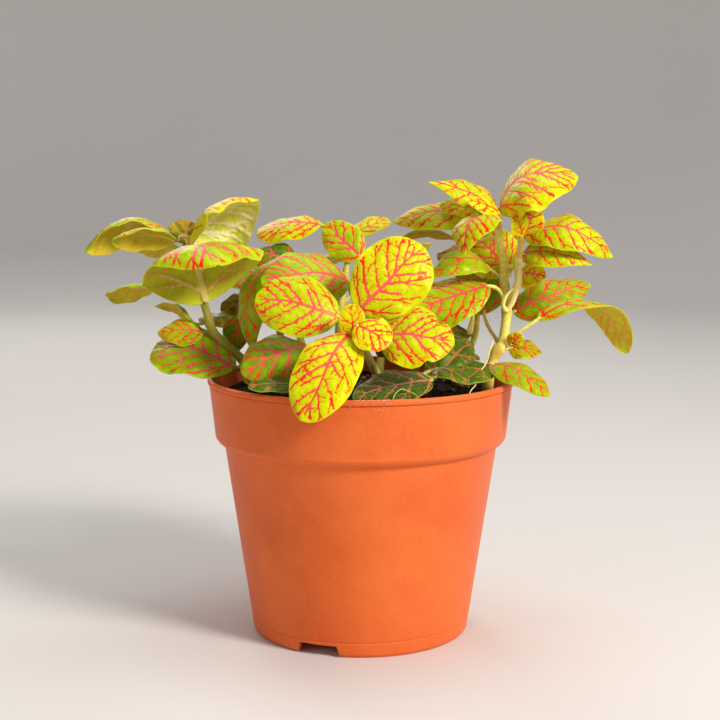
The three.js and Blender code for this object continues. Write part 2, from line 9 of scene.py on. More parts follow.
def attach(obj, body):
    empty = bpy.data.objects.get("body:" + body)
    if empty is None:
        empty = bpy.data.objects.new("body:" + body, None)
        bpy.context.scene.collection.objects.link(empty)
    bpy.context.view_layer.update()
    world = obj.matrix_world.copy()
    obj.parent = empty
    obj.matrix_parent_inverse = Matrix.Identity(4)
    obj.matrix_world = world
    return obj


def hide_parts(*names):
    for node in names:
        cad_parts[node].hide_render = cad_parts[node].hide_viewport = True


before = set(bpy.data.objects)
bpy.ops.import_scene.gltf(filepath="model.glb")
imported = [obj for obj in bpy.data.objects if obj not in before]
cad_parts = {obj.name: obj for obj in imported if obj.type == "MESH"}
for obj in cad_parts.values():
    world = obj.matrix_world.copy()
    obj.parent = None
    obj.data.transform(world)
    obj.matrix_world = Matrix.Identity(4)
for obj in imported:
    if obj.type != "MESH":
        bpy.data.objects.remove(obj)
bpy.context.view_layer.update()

# A potted nerve plant. The tables and sizes below are in millimetres, with the origin on the
# ground under the pot, +Z up and -Y the side that the photograph shows. MM turns them to metres.
MM = 0.001

# ---------------------------------------------------------------- named sizes

FOCAL_PIXELS = 1465
FRAME_PIXELS = 720
SENSOR_WIDTH = 36
CAMERA_PLACE = (-0.34, -572.7, 185.7)
CAMERA_TILT = 0.136
CAMERA_ROLL = 0.002

POT_HEIGHT = 101
RIM_RADIUS = 60.3
BAND_TOP_RADIUS = 59.6
BAND_FOOT_RADIUS = 57.5
BAND_FOOT_HEIGHT = 79.5
BODY_TOP_RADIUS = 53.9
BODY_TOP_HEIGHT = 75.5
BODY_FOOT_RADIUS = 43.6
BODY_FOOT_HEIGHT = 6
FOOT_RADIUS = 42
FOOT_RING_WIDTH = 2
WALL = 1.3
FLOOR_UNDERSIDE = 4.5
FLOOR_TOP = 6
POT_SEGMENTS = 160
FILLET_STEPS = 5
NOTCH_ANGLES = (-112, 8, 128)
NOTCH_WIDTH = 18
NOTCH_HEIGHT = 4.5
NOTCH_SLANT = 1.5
NOTCH_REACH = (37, 47)  # from the axis, the stretch that a notch is cut from
DRAIN_HOLES = 6
DRAIN_RADIUS = 4
DRAIN_CIRCLE = 28
SHARP_ANGLE = 35  # degrees between faces, above which the pot's edges are crisp

SOIL_EDGE_HEIGHT = 94.5
SOIL_CROWN_HEIGHT = 96.5
SOIL_EDGE_RADIUS = 57.1
SOIL_FOOT_RADIUS = 41.6
SOIL_GAP = 0.6  # between the soil and the pot's wall
SOIL_SINK = 0.6  # how far the lumpy surface lies below the plain crown
SOIL_LUMPS = 1.3
SOIL_SEGMENTS = 180
SOIL_RINGS = 70
CRUMBS = 900
BARK_BITS = 26
BARK_PLACES = [(-50, -24), (-46, -30), (-42, -36), (-49, -15)]
WOOD_BITS = 34
WOOD_PLACE = (5, -24, 102)
WOOD_SPREAD = (2.6, 2.2, 1.5)
SCALES = 16
SCALE_PLACE = (-37, -4, 98)
SCALE_SPREAD = (3.5, 2, 0.8)
RIM_SPECKS = 70
RIM_SPECK_RANGE = (-4, 17)
LEAF_SPECKS = 34

GRID_STEP = 0.36  # how finely a leaf is meshed, within the limits below
GRID_ROWS = (30, 140)
GRID_COLUMNS = (24, 110)
BASE_ROUNDNESS = 0.55
CREST_SHARE = 0.45
MIDRIB_FOLD = 0.1
ARCH_DRAW_IN = 0.25
TWIST_REST = 0.3
MARGIN_WAVE = 0.03  # the margin's large waves, as a share of the blade's width
WAVES = 2.2
WAVE_OFFSET = 1.1
RIPPLE = 0.004  # its small ones
RIPPLE_PACE = 47
RIPPLE_OFFSET = 9
BLADE_THICKNESS = 0.5
PUFF_HEIGHT = 0.55  # how far the cells between the veins stand up
PUFF_REACH = 1.9
RIDGE_HEIGHT = 0.75  # how far the veins stand out below, as a share of their radius
RIDGE_REACH = 0.45

COMMON_WIDTH = 26  # the blade width for which the veins' and puffs' sizes are given
VEIN_GAP = 0.9  # the cells of the grid that keeps veins apart
VEIN_PACE = 0.45  # the length of one grown step
MIDRIB_STEPS = 30

STALK_SIDES = 16
PETIOLE_SIDES = 10
STRAND_SIDES = 10
BARK_TOP = 106  # stems turn woody below this height
PETIOLE_BARK_TOP = 104
BARK_FADE = 12
STALK_HAIRS = 5  # for each step along a stem
PETIOLE_HAIRS = 4
HAIR_LOWEST = 99
HAIR_WIDTH = 0.035
HAIR_LENGTH = (0.5, 1.1)
HAIR_FACES = np.array([[0, 1, 3], [1, 2, 3], [2, 0, 3], [0, 2, 1]])

STAGE_RADIUS = 1.3  # of the floor's level part, in metres
STAGE_CURVE = 0.8  # of the bend round it, in metres
STAGE_SEGMENTS = 96

# ---------------------------------------------------------------- the leafy shoots

# A stem is a path from its foot in the soil to its tip, with a radius at each end and a tone,
# from 0, cream, to 1, olive, or below 0 where it is paler still.
# A leaf has: the height on the stem where its petiole leaves; the blade's base and tip; its
# width; the way its upper face looks as azimuth and elevation; bow, how far the midrib rises
# off its chord, as a share of it; arch, how far the margins hang, as a share of the half
# width; how pointed it is; its twist in degrees; its age, from 0, yellow, to 1, dark green;
# and its blush, from 0, red veins, to 1, pink ones.
Stem = namedtuple("Stem", "node path radii tone leaves")
Leaf = namedtuple("Leaf", "at base tip width face bow arch point twist age blush")

STEMS = [
    Stem("shoot_left", radii=(2.4, 1.0), tone=0.85, path=[
        (-37, 2, 86), (-37, 2, 93), (-38, 2, 99), (-43, 0, 103), (-47, -2, 108), (-53, -3, 114),
        (-58, -2, 119), (-61, 0, 127), (-64, 3, 136), (-67, 5, 147), (-69, 6, 153),
    ], leaves=[
        Leaf(153, (-75, 12, 155.5), (-110, 14, 149), 21, (90, 58), 0.27, 0.6, 0.45, 0, 0.35, 0.2),
        Leaf(153, (-72.5, 4, 154), (-96, -6, 154.5), 16, (95, 48), 0.14, 0.55, 0.45, 0, 0.35, 0.2),
        Leaf(153, (-70, 10, 154.5), (-69, 13, 161.5), 15, (90, 10), 0.1, 0.2, 0.5, 0, 0.75, 0.2),
        Leaf(153, (-67, 3, 150.5), (-40.5, 8, 169.5), 40, (118, 54), 0.2, 0.6, 0.55, 0, 0, 0.2),
        Leaf(122, (-61, 0, 130), (-52.5, -36, 147), 55, (180, 75), 0.4, 0.42, 0.7, 20, 0.3, 0.4),
        Leaf(136, (-83, 12, 135), (-102.5, 17, 130.5), 14, (80, 60), 0.08, 0.5, 0.3, 0, 0.45, 0.2),
        Leaf(122, (-67, 3, 122), (-82, 8, 127.5), 14, (80, 60), 0.2, 0.3, 0.9, 0, 0.5, 0.2),
        Leaf(119, (-62, 0, 118), (-79.5, -3, 118), 16, (-85, 52), 0.1, 0.3, 0.7, 0, 0.4, 0.3),
        Leaf(107, (-49, -10, 105), (-80.5, 0, 113), 31, (-105, 60), 0.12, 0.2, 0.35, 0, 0.44, 0.9),
        Leaf(147, (-70.5, 8, 150), (-91.5, 20, 149.5), 14, (80, 50), 0.05, 0.2, 0.5, 0, 0.3, 0.2),
        Leaf(122, (-58.5, 5, 123), (-56, 28, 117), 17, (100, 60), 0.15, 0.3, 0.7, 0, 0.7, 0.2),
    ]),
    Stem("shoot_mid_left", radii=(2.0, 1.0), tone=0.7, path=[
        (-30, 12, 86), (-30, 12, 97), (-32, 12, 112), (-33, 11, 126), (-33, 8, 140),
    ], leaves=[
        Leaf(140, (-30.5, 1, 148), (-42, -9, 112), 21, (-140, 18), 0.26, 0.35, 0.7, 0, 0.5, 0.2),
        Leaf(118, (-49, 7.6, 124), (-50.5, 5.6, 109), 12, (-75, 10), 0.1, 0.2, 0.8, 0, 0.65, 0.4),
        Leaf(140, (-27, 12, 145), (-43.5, 21, 148), 17, (-90, 40), 0.1, 0.3, 0.7, 0, 0.72, 0.7),
        Leaf(128, (-38, 14, 128.5), (-57, 24, 123.5), 22, (90, 60), 0.15, 0.3, 0.7, 0, 0.75, 0.3),
    ]),
    Stem("shoot_middle", radii=(2.2, 1.0), tone=0.4, path=[
        (-8, 12, 86), (-8, 12, 97), (-9, 11, 112), (-8, 11, 128), (-6, 12, 142), (-5, 13, 149),
    ], leaves=[
        Leaf(149, (-16, 20, 159.5), (-42, 28, 157), 22, (-90, 60), 0.07, 0.35, 0.35, -10, 0.1, 0.2),
        Leaf(149, (0, 11, 147), (-14.5, 16, 160), 16.5, (-90, 15), 0.06, 0.2, 0.6, 0, 0.3, 0.8),
        Leaf(149, (-4, 21, 154.5), (11, 28, 161.5), 11.5, (-120, 45), 0.06, 0.1, 0.35, 0, 0.15, 0.1),
        Leaf(138, (-4.5, -9, 139), (-38, -16, 139.5), 32, (-80, 48), 0.14, 0.32, 0.45, 0, 0.38, 0.5),
        Leaf(128, (-4, 15, 131), (12, 24, 138), 18, (-70, 60), 0.15, 0.3, 0.7, 0, 0.5, 0.3),
    ]),
    Stem("shoot_front", radii=(2.2, 1.1), tone=0.3, path=[
        (8, -10, 86), (8, -10, 92), (8, -11, 98), (6, -15, 104), (4, -22, 109), (2, -28, 114),
        (0, -34, 120), (-2, -38, 125),
    ], leaves=[
        Leaf(122, (-1, -34, 130), (23, -27, 153.5), 30, (-90, 15), 0.08, 0.2, 0.45, 0, 0.08, 0.2),
        Leaf(122, (-8, -35, 128), (-39, -33, 135), 26, (-90, 30), 0.1, 0.25, 0.5, 0, 0.22, 0.3),
        Leaf(120, (-4, -42, 123), (-20, -64, 94), 25.5, (-100, 28), 0.14, 0.25, 0.5, 0, 0.05, 0.15),
        Leaf(119, (7, -37, 121), (34, -43, 119.5), 27, (-85, 35), 0.12, 0.2, 0.6, 0, 0.14, 0.2),
        Leaf(125, (-3, -42, 122), (-4, -46, 134), 10, (-80, 15), 0.08, 0.1, 0.5, 0, 0, 0.1),
        Leaf(125, (-2, -45, 126), (10, -51, 119.5), 16.5, (-75, 35), 0.12, 0.2, 0.5, 0, 0, 0.1),
    ]),
    Stem("shoot_centre", radii=(1.8, 1.0), tone=0.5, path=[
        (22, 2, 86), (22, 2, 97), (21, 0, 110), (19, -3, 122), (18, -5, 131),
    ], leaves=[
        Leaf(131, (14, -9, 134), (2, -22, 139), 17, (-120, 60), 0.1, 0.25, 0.6, 0, 0.35, 0.3),
        Leaf(131, (18, 0, 135), (20, 14, 142), 17, (80, 60), 0.12, 0.25, 0.6, 0, 0.3, 0.3),
        Leaf(122, (14, -1, 123), (-2, 3, 120), 18, (-100, 60), 0.12, 0.25, 0.6, 0, 0.45, 0.3),
        Leaf(116, (22, 7, 116), (24, 17, 108), 12, (60, 50), 0.15, 0.25, 0.7, 0, 0.5, 0.3),
        Leaf(110, (18, 5, 110), (8, 18, 106), 17, (110, 60), 0.15, 0.25, 0.7, 0, 0.5, 0.3),
    ]),
    Stem("shoot_low_left", radii=(2.0, 1.2), tone=0.7, path=[
        (-18, -18, 86), (-18, -18, 97), (-19, -20, 104), (-20, -22, 111),
    ], leaves=[
        Leaf(111, (-20, -26, 116), (-44, -37, 107), 27, (-95, 45), 0.1, 0.35, 0.6, 0, 0.55, 0.4),
        Leaf(104, (-22.5, -42, 103), (-41, -47, 103.5), 12, (-85, 68), 0.08, 0.15, 0.6, 0, 0.9, 0.9),
        Leaf(108, (-27, -24, 108), (-44, -28, 103), 14, (-95, 55), 0.1, 0.25, 0.6, 0, 0.6, 0.8),
        Leaf(108, (-24, -14, 110), (-40, 0, 106), 15, (110, 60), 0.15, 0.25, 0.6, 0, 0.6, 0.4),
    ]),
    Stem("shoot_low_front", radii=(1.8, 1.2), tone=0.6, path=[
        (24, -22, 86), (24, -22, 97), (24, -25, 102), (23, -27, 105),
    ], leaves=[
        Leaf(105, (26.5, -33, 104), (-3, -42, 98.5), 20, (-85, 62), 0.06, 0.15, 0.6, 0, 0.95, 0.9),
        Leaf(105, (29.5, -16, 103.5), (43.5, -1, 114.5), 16, (-100, 15), 0.15, 0.25, 0.7, 0, 0.9, 0.5),
        Leaf(105, (28, -24, 107), (40, -34, 103), 13, (-60, 60), 0.15, 0.25, 0.7, 0, 0.9, 0.7),
    ]),
    Stem("shoot_right", radii=(2.3, 1.3), tone=0.05, path=[
        (50, -3, 86), (50, -3, 97), (52, -4, 109), (55, -4, 114), (57, -2, 127), (56, 0, 137),
        (56, 2, 145), (54, 2, 155), (53, 2, 164),
    ], leaves=[
        Leaf(163, (54, 2, 166), (83, -6, 179), 41, (-75, 60), 0.29, 0.35, 0.55, 0, 0.1, 0.3),
        Leaf(164, (53, 1, 166.5), (26, -4, 177), 17, (-80, 45), 0.1, 0.3, 1.1, 0, 0.15, 0.3),
        Leaf(163, (53, -8, 165), (39, -18, 170.5), 13, (-80, 40), 0.1, 0.2, 0.9, 0, 0.1, 0.3),
        Leaf(163, (49.5, -10, 164), (38.5, -24, 150.5), 25, (-140, 45), 0.28, 0.35, 0.85, 0, 0.15, 0.3),
        Leaf(160, (45, 6, 165), (31, 9, 168), 9, (-90, 40), 0.1, 0.2, 0.6, 0, 0.2, 0.2),
        Leaf(158, (46, 10, 163.5), (13, 15, 161), 20, (-85, 55), 0.1, 0.3, 0.7, 0, 0.2, 0.2),
        Leaf(155, (38, 18, 154), (14, 22, 153.5), 12, (90, 70), 0.12, 0.2, 0.8, 0, 0.4, 0.2),
        Leaf(141, (59, 8, 141), (45, 16, 157), 24, (-90, 20), 0.06, 0.2, 0.6, 0, 0.2, 0.3),
        Leaf(139, (49.5, 2, 144), (26.5, -14, 141.5), 15, (-88, 45), 0.24, 0.3, 0.7, 0, 0.42, 0.3),
        Leaf(113, (49, 7, 125), (46.5, 11, 145.5), 24, (-90, 5), 0.08, 0.2, 0.5, 0, 0.6, 0.2),
        Leaf(127, (49.5, -9, 137.5), (18.5, -16, 126.5), 24, (-90, 50), 0.05, 0.3, 0.4, 30, 0.35, 0.3),
        Leaf(127, (60.5, 8, 125.5), (92, 15, 136), 19, (-90, 38), 0.08, 0.3, 0.7, 0, 0.5, 0.3),
        Leaf(112, (69, -4, 124), (106, 8, 109), 18.5, (-85, 82), 0.33, 0.2, 0.55, 80, 0.3, 0),
        Leaf(110, (58.5, 0, 112), (71, -3, 110.5), 12, (-80, 50), 0.1, 0.2, 0.8, 0, 0.4, 0.2),
        Leaf(112, (58, -6, 114), (62, -9, 119), 7, (-70, 20), 0.1, 0.2, 0.5, 0, 0.2, 0.2),
        Leaf(105, (50, -14, 107.5), (70.5, -32, 98), 16.5, (-70, 55), 0.12, 0.3, 0.7, 0, 0.4, 0.4),
        Leaf(104, (50, -11, 106), (38, -29, 102), 13, (-85, 50), 0.12, 0.2, 0.7, 0, 0.9, 0.7),
        Leaf(145, (60, 9, 144), (66, 31, 146), 18, (90, 60), 0.15, 0.3, 0.7, 0, 0.4, 0.3),
    ]),
    Stem("shoot_right", radii=(1.6, 1.1), tone=-0.3, path=[
        (57, -2, 129), (61, -4, 138), (61, -4, 145), (62, -4, 153), (62, -4, 156),
    ], leaves=[
        Leaf(156, (61.5, -9, 156), (58.5, -13, 165.5), 9, (-70, 15), 0.1, 0.1, 0.6, 0, 0.2, 0.3),
        Leaf(156, (62.5, -8, 156.5), (67.5, -9, 167.5), 12.5, (-110, 15), 0.1, 0.1, 0.6, 0, 0.02, 0.8),
        Leaf(155, (63, -6, 156.5), (95.5, -14, 149), 21, (-85, 48), 0.27, 0.3, 0.7, 0, 0.2, 0.3),
        Leaf(148, (62, -9, 149.5), (87.5, -17, 146), 14.5, (-85, 35), 0.18, 0.2, 1.0, 0, 0.25, 0.3),
        Leaf(142, (62.5, 1, 142), (72, -4, 140.5), 14, (-90, 30), 0.05, 0.1, 0.9, 0, 0, 0.9),
    ]),
    Stem("shoot_right_back", radii=(1.8, 1.0), tone=0.45, path=[
        (40, 12, 86), (40, 12, 97), (43, 12, 108), (46, 12, 116), (47, 14, 126),
    ], leaves=[
        Leaf(108, (39.5, 23, 111), (26.5, 12, 99), 14, (-70, 35), 0.1, 0.2, 0.7, 0, 0.9, 0.4),
        Leaf(126, (50.5, 17, 142.5), (31, 24, 147.5), 22, (-80, 45), 0.12, 0.25, 0.7, 0, 0.5, 0.3),
        Leaf(126, (50, 18, 130), (58, 32, 137), 15, (90, 50), 0.12, 0.25, 0.7, 0, 0.4, 0.3),
        Leaf(116, (43.5, 13, 115.5), (32, 11, 118.5), 8, (-90, 55), 0.12, 0.2, 0.7, 0, 0.9, 0.3),
    ]),
    Stem("shoot_rear_left", radii=(2.0, 1.0), tone=0.5, path=[
        (-22, 34, 86), (-22, 34, 97), (-25, 37, 110), (-28, 40, 122), (-29, 41, 134),
    ], leaves=[
        Leaf(134, (-34, 45, 138), (-54, 56, 142), 22, (130, 50), 0.12, 0.3, 0.6, 0, 0.15, 0.3),
        Leaf(134, (-28, 48, 132), (-20, 65, 136), 20, (90, 55), 0.15, 0.3, 0.6, 0, 0.2, 0.2),
        Leaf(134, (-23, 41, 139), (-4, 47, 146), 18, (50, 60), 0.12, 0.3, 0.6, 0, 0.12, 0.3),
        Leaf(134, (-33, 36, 134), (-56, 34, 135), 17, (-110, 60), 0.12, 0.3, 0.6, 0, 0.3, 0.3),
        Leaf(120, (-31, 44, 121), (-50, 58, 116), 22, (120, 50), 0.15, 0.3, 0.6, 0, 0.4, 0.4),
        Leaf(120, (-25, 44, 121), (-14, 61, 114), 20, (80, 45), 0.15, 0.3, 0.6, 0, 0.45, 0.4),
        Leaf(106, (-26, 40, 106), (-42, 50, 104), 16, (110, 60), 0.15, 0.3, 0.6, 0, 0.7, 0.6),
    ]),
    Stem("shoot_rear", radii=(2.0, 1.0), tone=0.4, path=[
        (8, 36, 86), (8, 36, 97), (9, 40, 110), (10, 43, 124), (10, 45, 138),
    ], leaves=[
        Leaf(138, (15, 47, 143), (30, 56, 149), 20, (60, 50), 0.12, 0.3, 0.6, 0, 0.1, 0.3),
        Leaf(138, (8, 50, 138), (3, 64, 143), 20, (100, 40), 0.15, 0.3, 0.6, 0, 0.2, 0.2),
        Leaf(138, (13, 42, 141), (30, 36, 140), 18, (-60, 60), 0.12, 0.3, 0.6, 0, 0.25, 0.3),
        Leaf(124, (14, 47, 124), (31, 59, 120), 21, (50, 50), 0.15, 0.3, 0.6, 0, 0.35, 0.3),
        Leaf(124, (6, 47, 124), (-6, 62, 119), 20, (120, 50), 0.15, 0.3, 0.6, 0, 0.4, 0.4),
        Leaf(110, (13, 41, 110), (30, 48, 106), 17, (40, 60), 0.15, 0.3, 0.6, 0, 0.6, 0.6),
        Leaf(108, (6, 43, 107), (1, 61, 104), 18, (100, 60), 0.15, 0.3, 0.6, 0, 0.75, 0.7),
    ]),
    Stem("shoot_rear_right", radii=(1.8, 1.0), tone=0.4, path=[
        (34, 30, 86), (35, 30, 97), (42, 33, 108), (47, 36, 120), (48, 37, 130),
    ], leaves=[
        Leaf(130, (48, 41, 135), (61, 53, 139), 19, (50, 50), 0.12, 0.3, 0.6, 0, 0.15, 0.2),
        Leaf(130, (41, 45, 131), (39, 61, 133), 17, (105, 50), 0.12, 0.3, 0.6, 0, 0.3, 0.3),
        Leaf(112, (39, 40, 112), (36, 58, 107), 18, (95, 50), 0.15, 0.3, 0.6, 0, 0.45, 0.4),
        Leaf(104, (38, 36, 104), (50, 46, 101), 13, (50, 60), 0.15, 0.3, 0.6, 0, 0.7, 0.6),
    ]),
]

# Thin threads and bracts: a path, the radius at its start, middle and end, and a tone.
Strand = namedtuple("Strand", "path radii tone")

STRANDS = {
    "aerial_roots": [
        Strand(radii=(0.3, 0.26, 0.2), tone=-0.2, path=[
            (51.3, -8, 116.3), (49.8, -12, 112.9), (48.4, -16, 109.2), (45.7, -21, 106),
            (43.4, -27, 101.9), (40.9, -31, 99.5), (40, -33, 96),
        ]),
        Strand(radii=(0.15, 0.16, 0.1), tone=0.2, path=[
            (11.5, -47, 98), (12.1, -46, 100.4), (13.6, -44, 101.9), (15.1, -43, 102.5),
            (17.3, -43, 101.8), (19.8, -44, 100.8), (21.5, -46, 99),
        ]),
    ],
    "left_bracts": [
        Strand(radii=(0.8, 0.75, 0.25), tone=0, path=[
            (-67.4, 5, 150.2), (-68, 4, 153), (-69.4, 3, 155.8), (-71, 3, 155.8),
            (-71.8, 3, 153.8),
        ]),
        Strand(radii=(0.7, 0.6, 0.25), tone=0, path=[
            (-67, 5, 150.2), (-67.2, 4, 153.8), (-68.3, 3, 155.8), (-69.5, 3, 154.2),
        ]),
        Strand(radii=(0.8, 0.7, 0.2), tone=0, path=[
            (-66.2, 5, 150.2), (-65, 5, 153), (-63.8, 5, 154.9), (-64.8, 4, 156.9),
        ]),
    ],
    "right_bracts": [
        Strand(radii=(1.0, 0.8, 0.1), tone=-0.2, path=[
            (56.4, -6, 127.5), (55, -7.5, 130), (55.8, -8, 133), (57.8, -8, 135.4),
            (59.8, -8, 136.8),
        ]),
        Strand(radii=(0.9, 1.3, 0.3), tone=-0.4, path=[
            (56.5, -4.5, 127), (58.6, -5.5, 130.5), (60.2, -6, 136), (61, -6.2, 142),
            (61.2, -5.6, 146),
        ]),
    ],
}

# Nicks in the margin of one leaf, by its name: for each its station, from 0 at the base to 1 at
# the tip, the side of the midrib, its depth as a share of the half width, and its width.
NICKS = {"shoot_front_leaf_4": [(0.8, -1, 0.45, 0.05), (0.72, 1, 0.14, 0.05)]}

# ---------------------------------------------------------------- materials


def rgb(red, green, blue):
    return (red, green, blue, 1)


class Shader:
    """A material written as calls that add nodes and give back their sockets."""

    def __init__(self, name):
        self.material = bpy.data.materials.new(name)
        self.material.use_nodes = True
        self.tree = self.material.node_tree
        self.tree.nodes.clear()

    def feed(self, socket, value):
        if isinstance(value, bpy.types.NodeSocket):
            self.tree.links.new(value, socket)
        else:
            socket.default_value = value

    def node(self, kind, inputs, **settings):
        made = self.tree.nodes.new("ShaderNode" + kind)
        for name, value in settings.items():
            setattr(made, name, value)
        for name, value in inputs.items():
            self.feed(made.inputs[name], value)
        return made

    def attribute(self, name, output="Fac"):
        return self.node("Attribute", {}, attribute_name=name).outputs[output]

    def place(self):
        return self.node("TexCoord", {}).outputs["Object"]

    def noise(self, vector, scale, detail=3, roughness=0.55):
        inputs = {"Vector": vector, "Scale": scale, "Detail": detail, "Roughness": roughness}
        return self.node("TexNoise", inputs).outputs["Fac"]

    def cells(self, vector, scale, feature="F1"):
        made = self.node("TexVoronoi", {"Vector": vector, "Scale": scale}, feature=feature)
        return made.outputs["Distance"]

    def smooth(self, value, low, high, start=0, end=1):
        inputs = {"Value": value, "From Min": low, "From Max": high, "To Min": start, "To Max": end}
        return self.node("MapRange", inputs, interpolation_type="SMOOTHSTEP").outputs["Result"]

    def math(self, operation, first, second, third=0):
        inputs = {0: first, 1: second, 2: third}
        return self.node("Math", inputs, operation=operation).outputs[0]

    def ramp(self, value, *stops):
        made = self.node("ValToRGB", {"Fac": value})
        elements = made.color_ramp.elements
        while len(elements) < len(stops):
            elements.new(0.5)
        for element, (position, color) in zip(elements, stops):
            element.position = position
            element.color = color
        return made.outputs["Color"]

    def mix(self, share, first, second, blend_type="MIX"):
        inputs = {0: share, 6: first, 7: second}
        made = self.node("Mix", {}, data_type="RGBA", blend_type=blend_type)
        for index, value in inputs.items():
            self.feed(made.inputs[index], value)
        return made.outputs[2]

    def bump(self, height, distance, strength, normal=None):
        inputs = {"Height": height, "Distance": distance, "Strength": strength}
        if normal is not None:
            inputs["Normal"] = normal
        return self.node("Bump", inputs).outputs["Normal"]

    def finish(self, **inputs):
        surface = {name.replace("_", " "): value for name, value in inputs.items()}
        skin = self.node("BsdfPrincipled", surface)
        output = self.node("OutputMaterial", {})
        self.tree.links.new(skin.outputs["BSDF"], output.inputs["Surface"])
        return self.material


def leaf_upper_material():
    """Yellow when young to dark green when old, with red or pink veins that have ragged edges."""
    s = Shader("leaf_upper")
    flat = s.attribute("flat", "Vector")
    vein = s.attribute("vein")
    girth = s.attribute("girth")
    rim = s.attribute("rim")
    blush = s.attribute("blush")
    wobble = s.math("MULTIPLY_ADD", s.noise(flat, 1.7, 3), 0.44, -0.22)
    swell = s.math("MULTIPLY_ADD", s.noise(flat, 0.3, 2), 0.5, -0.17)
    edge = s.math("ADD", s.math("ADD", vein, wobble), swell)
    patch = s.math("MULTIPLY_ADD", s.noise(flat, 0.16, 4, 0.6), 0.5, -0.25)
    age = s.math("ADD", s.attribute("age"), patch)
    blade = s.ramp(
        age,
        (0.0, rgb(0.70, 0.68, 0.001)),
        (0.16, rgb(0.54, 0.63, 0.001)),
        (0.36, rgb(0.34, 0.50, 0.001)),
        (0.6, rgb(0.17, 0.30, 0.002)),
        (0.8, rgb(0.08, 0.17, 0.006)),
        (1.0, rgb(0.03, 0.075, 0.006)),
    )
    # Paler yellow in the middle of each cell, away from the veins, on younger leaves: partly the
    # blade's own colour, partly a painted highlight on the puffed cells, with the greener ground near
    # the veins as painted shade.
    clear = s.math("MULTIPLY_ADD", s.noise(flat, 0.5), 0.5, vein)
    pale = s.smooth(clear, 0.7, 2.2, 0, 0.5)
    pale = s.math("MULTIPLY", pale, s.smooth(s.attribute("age"), 0.3, 0.8, 1, 0.1))
    blade = s.mix(pale, blade, s.mix(0.5, blade, rgb(0.95, 0.88, 0.005)))
    net = s.smooth(s.cells(flat, 0.75, "DISTANCE_TO_EDGE"), 0.0, 0.09, 0.28, 0)
    blade = s.mix(net, blade, rgb(0.55, 0.30, 0.01), "MULTIPLY")
    margin = s.smooth(rim, 0.15, 0.7, 0.5, 0)
    blade = s.mix(margin, blade, s.mix(0.6, blade, rgb(0.72, 0.80, 0.02)))
    halo = s.smooth(edge, 0.0, 0.4, 0.5, 0)
    blade = s.mix(halo, blade, s.mix(0.75, blade, rgb(0.80, 0.26, 0.005)))
    pink = s.math("ADD", s.math("MULTIPLY", girth, 0.45), s.math("MULTIPLY", blush, 0.5))
    pink = s.math("ADD", pink, s.smooth(rim, 1.0, 9.0, 0, 0.55))
    pink = s.math("ADD", pink, s.math("MULTIPLY", s.noise(flat, 0.25), 0.4))
    rose = s.mix(blush, rgb(0.88, 0.15, 0.085), rgb(0.84, 0.055, 0.14))
    red = s.mix(s.smooth(pink, 0.75, 1.4), rgb(0.80, 0.010, 0.012), rose)
    faded = s.mix(blush, rgb(0.20, 0.07, 0.012), rgb(0.60, 0.17, 0.13))
    red = s.mix(s.smooth(s.attribute("age"), 0.6, 1.0, 0, 0.85), red, faded)
    line = s.smooth(edge, -0.05, 0.16, 1, 0)
    color = s.mix(line, blade, red)
    grain = s.math("MULTIPLY", s.noise(flat, 3.2, 2), 0.6)
    bump = s.bump(grain, 0.00012, 0.6)
    bump = s.bump(s.smooth(edge, -0.1, 0.4), 0.00008, 0.7, bump)
    gloss = s.smooth(s.noise(flat, 0.5, 3), 0.25, 0.75, 0.32, 0.46)
    return s.finish(
        Base_Color=color,
        Roughness=gloss,
        Normal=bump,
        Subsurface_Weight=0.12,
        Subsurface_Scale=0.0006,
        Subsurface_Radius=(1.0, 0.85, 0.1),
        Specular_IOR_Level=0.35,
        Specular_Tint=rgb(1.0, 0.97, 0.3),
    )


def leaf_under_material():
    """Paler than the upper side, with broad soft veins, cream when young and brown when old."""
    s = Shader("leaf_under")
    flat = s.attribute("flat", "Vector")
    vein = s.attribute("vein")
    girth = s.attribute("girth")
    patch = s.math("MULTIPLY_ADD", s.noise(flat, 0.2, 3), 0.5, -0.25)
    age = s.math("ADD", s.attribute("age"), patch)
    blade = s.ramp(
        age,
        (0.0, rgb(0.74, 0.80, 0.14)),
        (0.15, rgb(0.60, 0.64, 0.05)),
        (0.35, rgb(0.50, 0.52, 0.016)),
        (0.65, rgb(0.24, 0.26, 0.012)),
        (1.0, rgb(0.10, 0.13, 0.012)),
    )
    net = s.smooth(s.cells(flat, 0.75, "DISTANCE_TO_EDGE"), 0.0, 0.12, 0.25, 0)
    blade = s.mix(net, blade, rgb(0.74, 0.60, 0.14))
    aged = s.smooth(s.attribute("age"), 0.05, 0.28)
    ghost = s.smooth(vein, 0.0, 0.8, 0.6, 0)
    blade = s.mix(ghost, blade, s.mix(aged, rgb(0.95, 0.80, 0.30), rgb(0.58, 0.44, 0.03)))
    core = s.mix(s.smooth(girth, 0.3, 1.0), rgb(0.66, 0.32, 0.04), rgb(0.78, 0.62, 0.20))
    core = s.mix(aged, rgb(1.0, 0.90, 0.62), core)
    color = s.mix(s.smooth(vein, -0.2, 0.25, 0.9, 0), blade, core)
    bump = s.bump(s.noise(flat, 3.0, 2), 0.00012, 0.6)
    return s.finish(
        Base_Color=color,
        Roughness=0.55,
        Normal=bump,
        Subsurface_Weight=0.35,
        Subsurface_Scale=0.0015,
        Subsurface_Radius=(1.0, 0.9, 0.08),
        Specular_IOR_Level=0.2,
        Specular_Tint=rgb(1.0, 0.95, 0.3),
    )


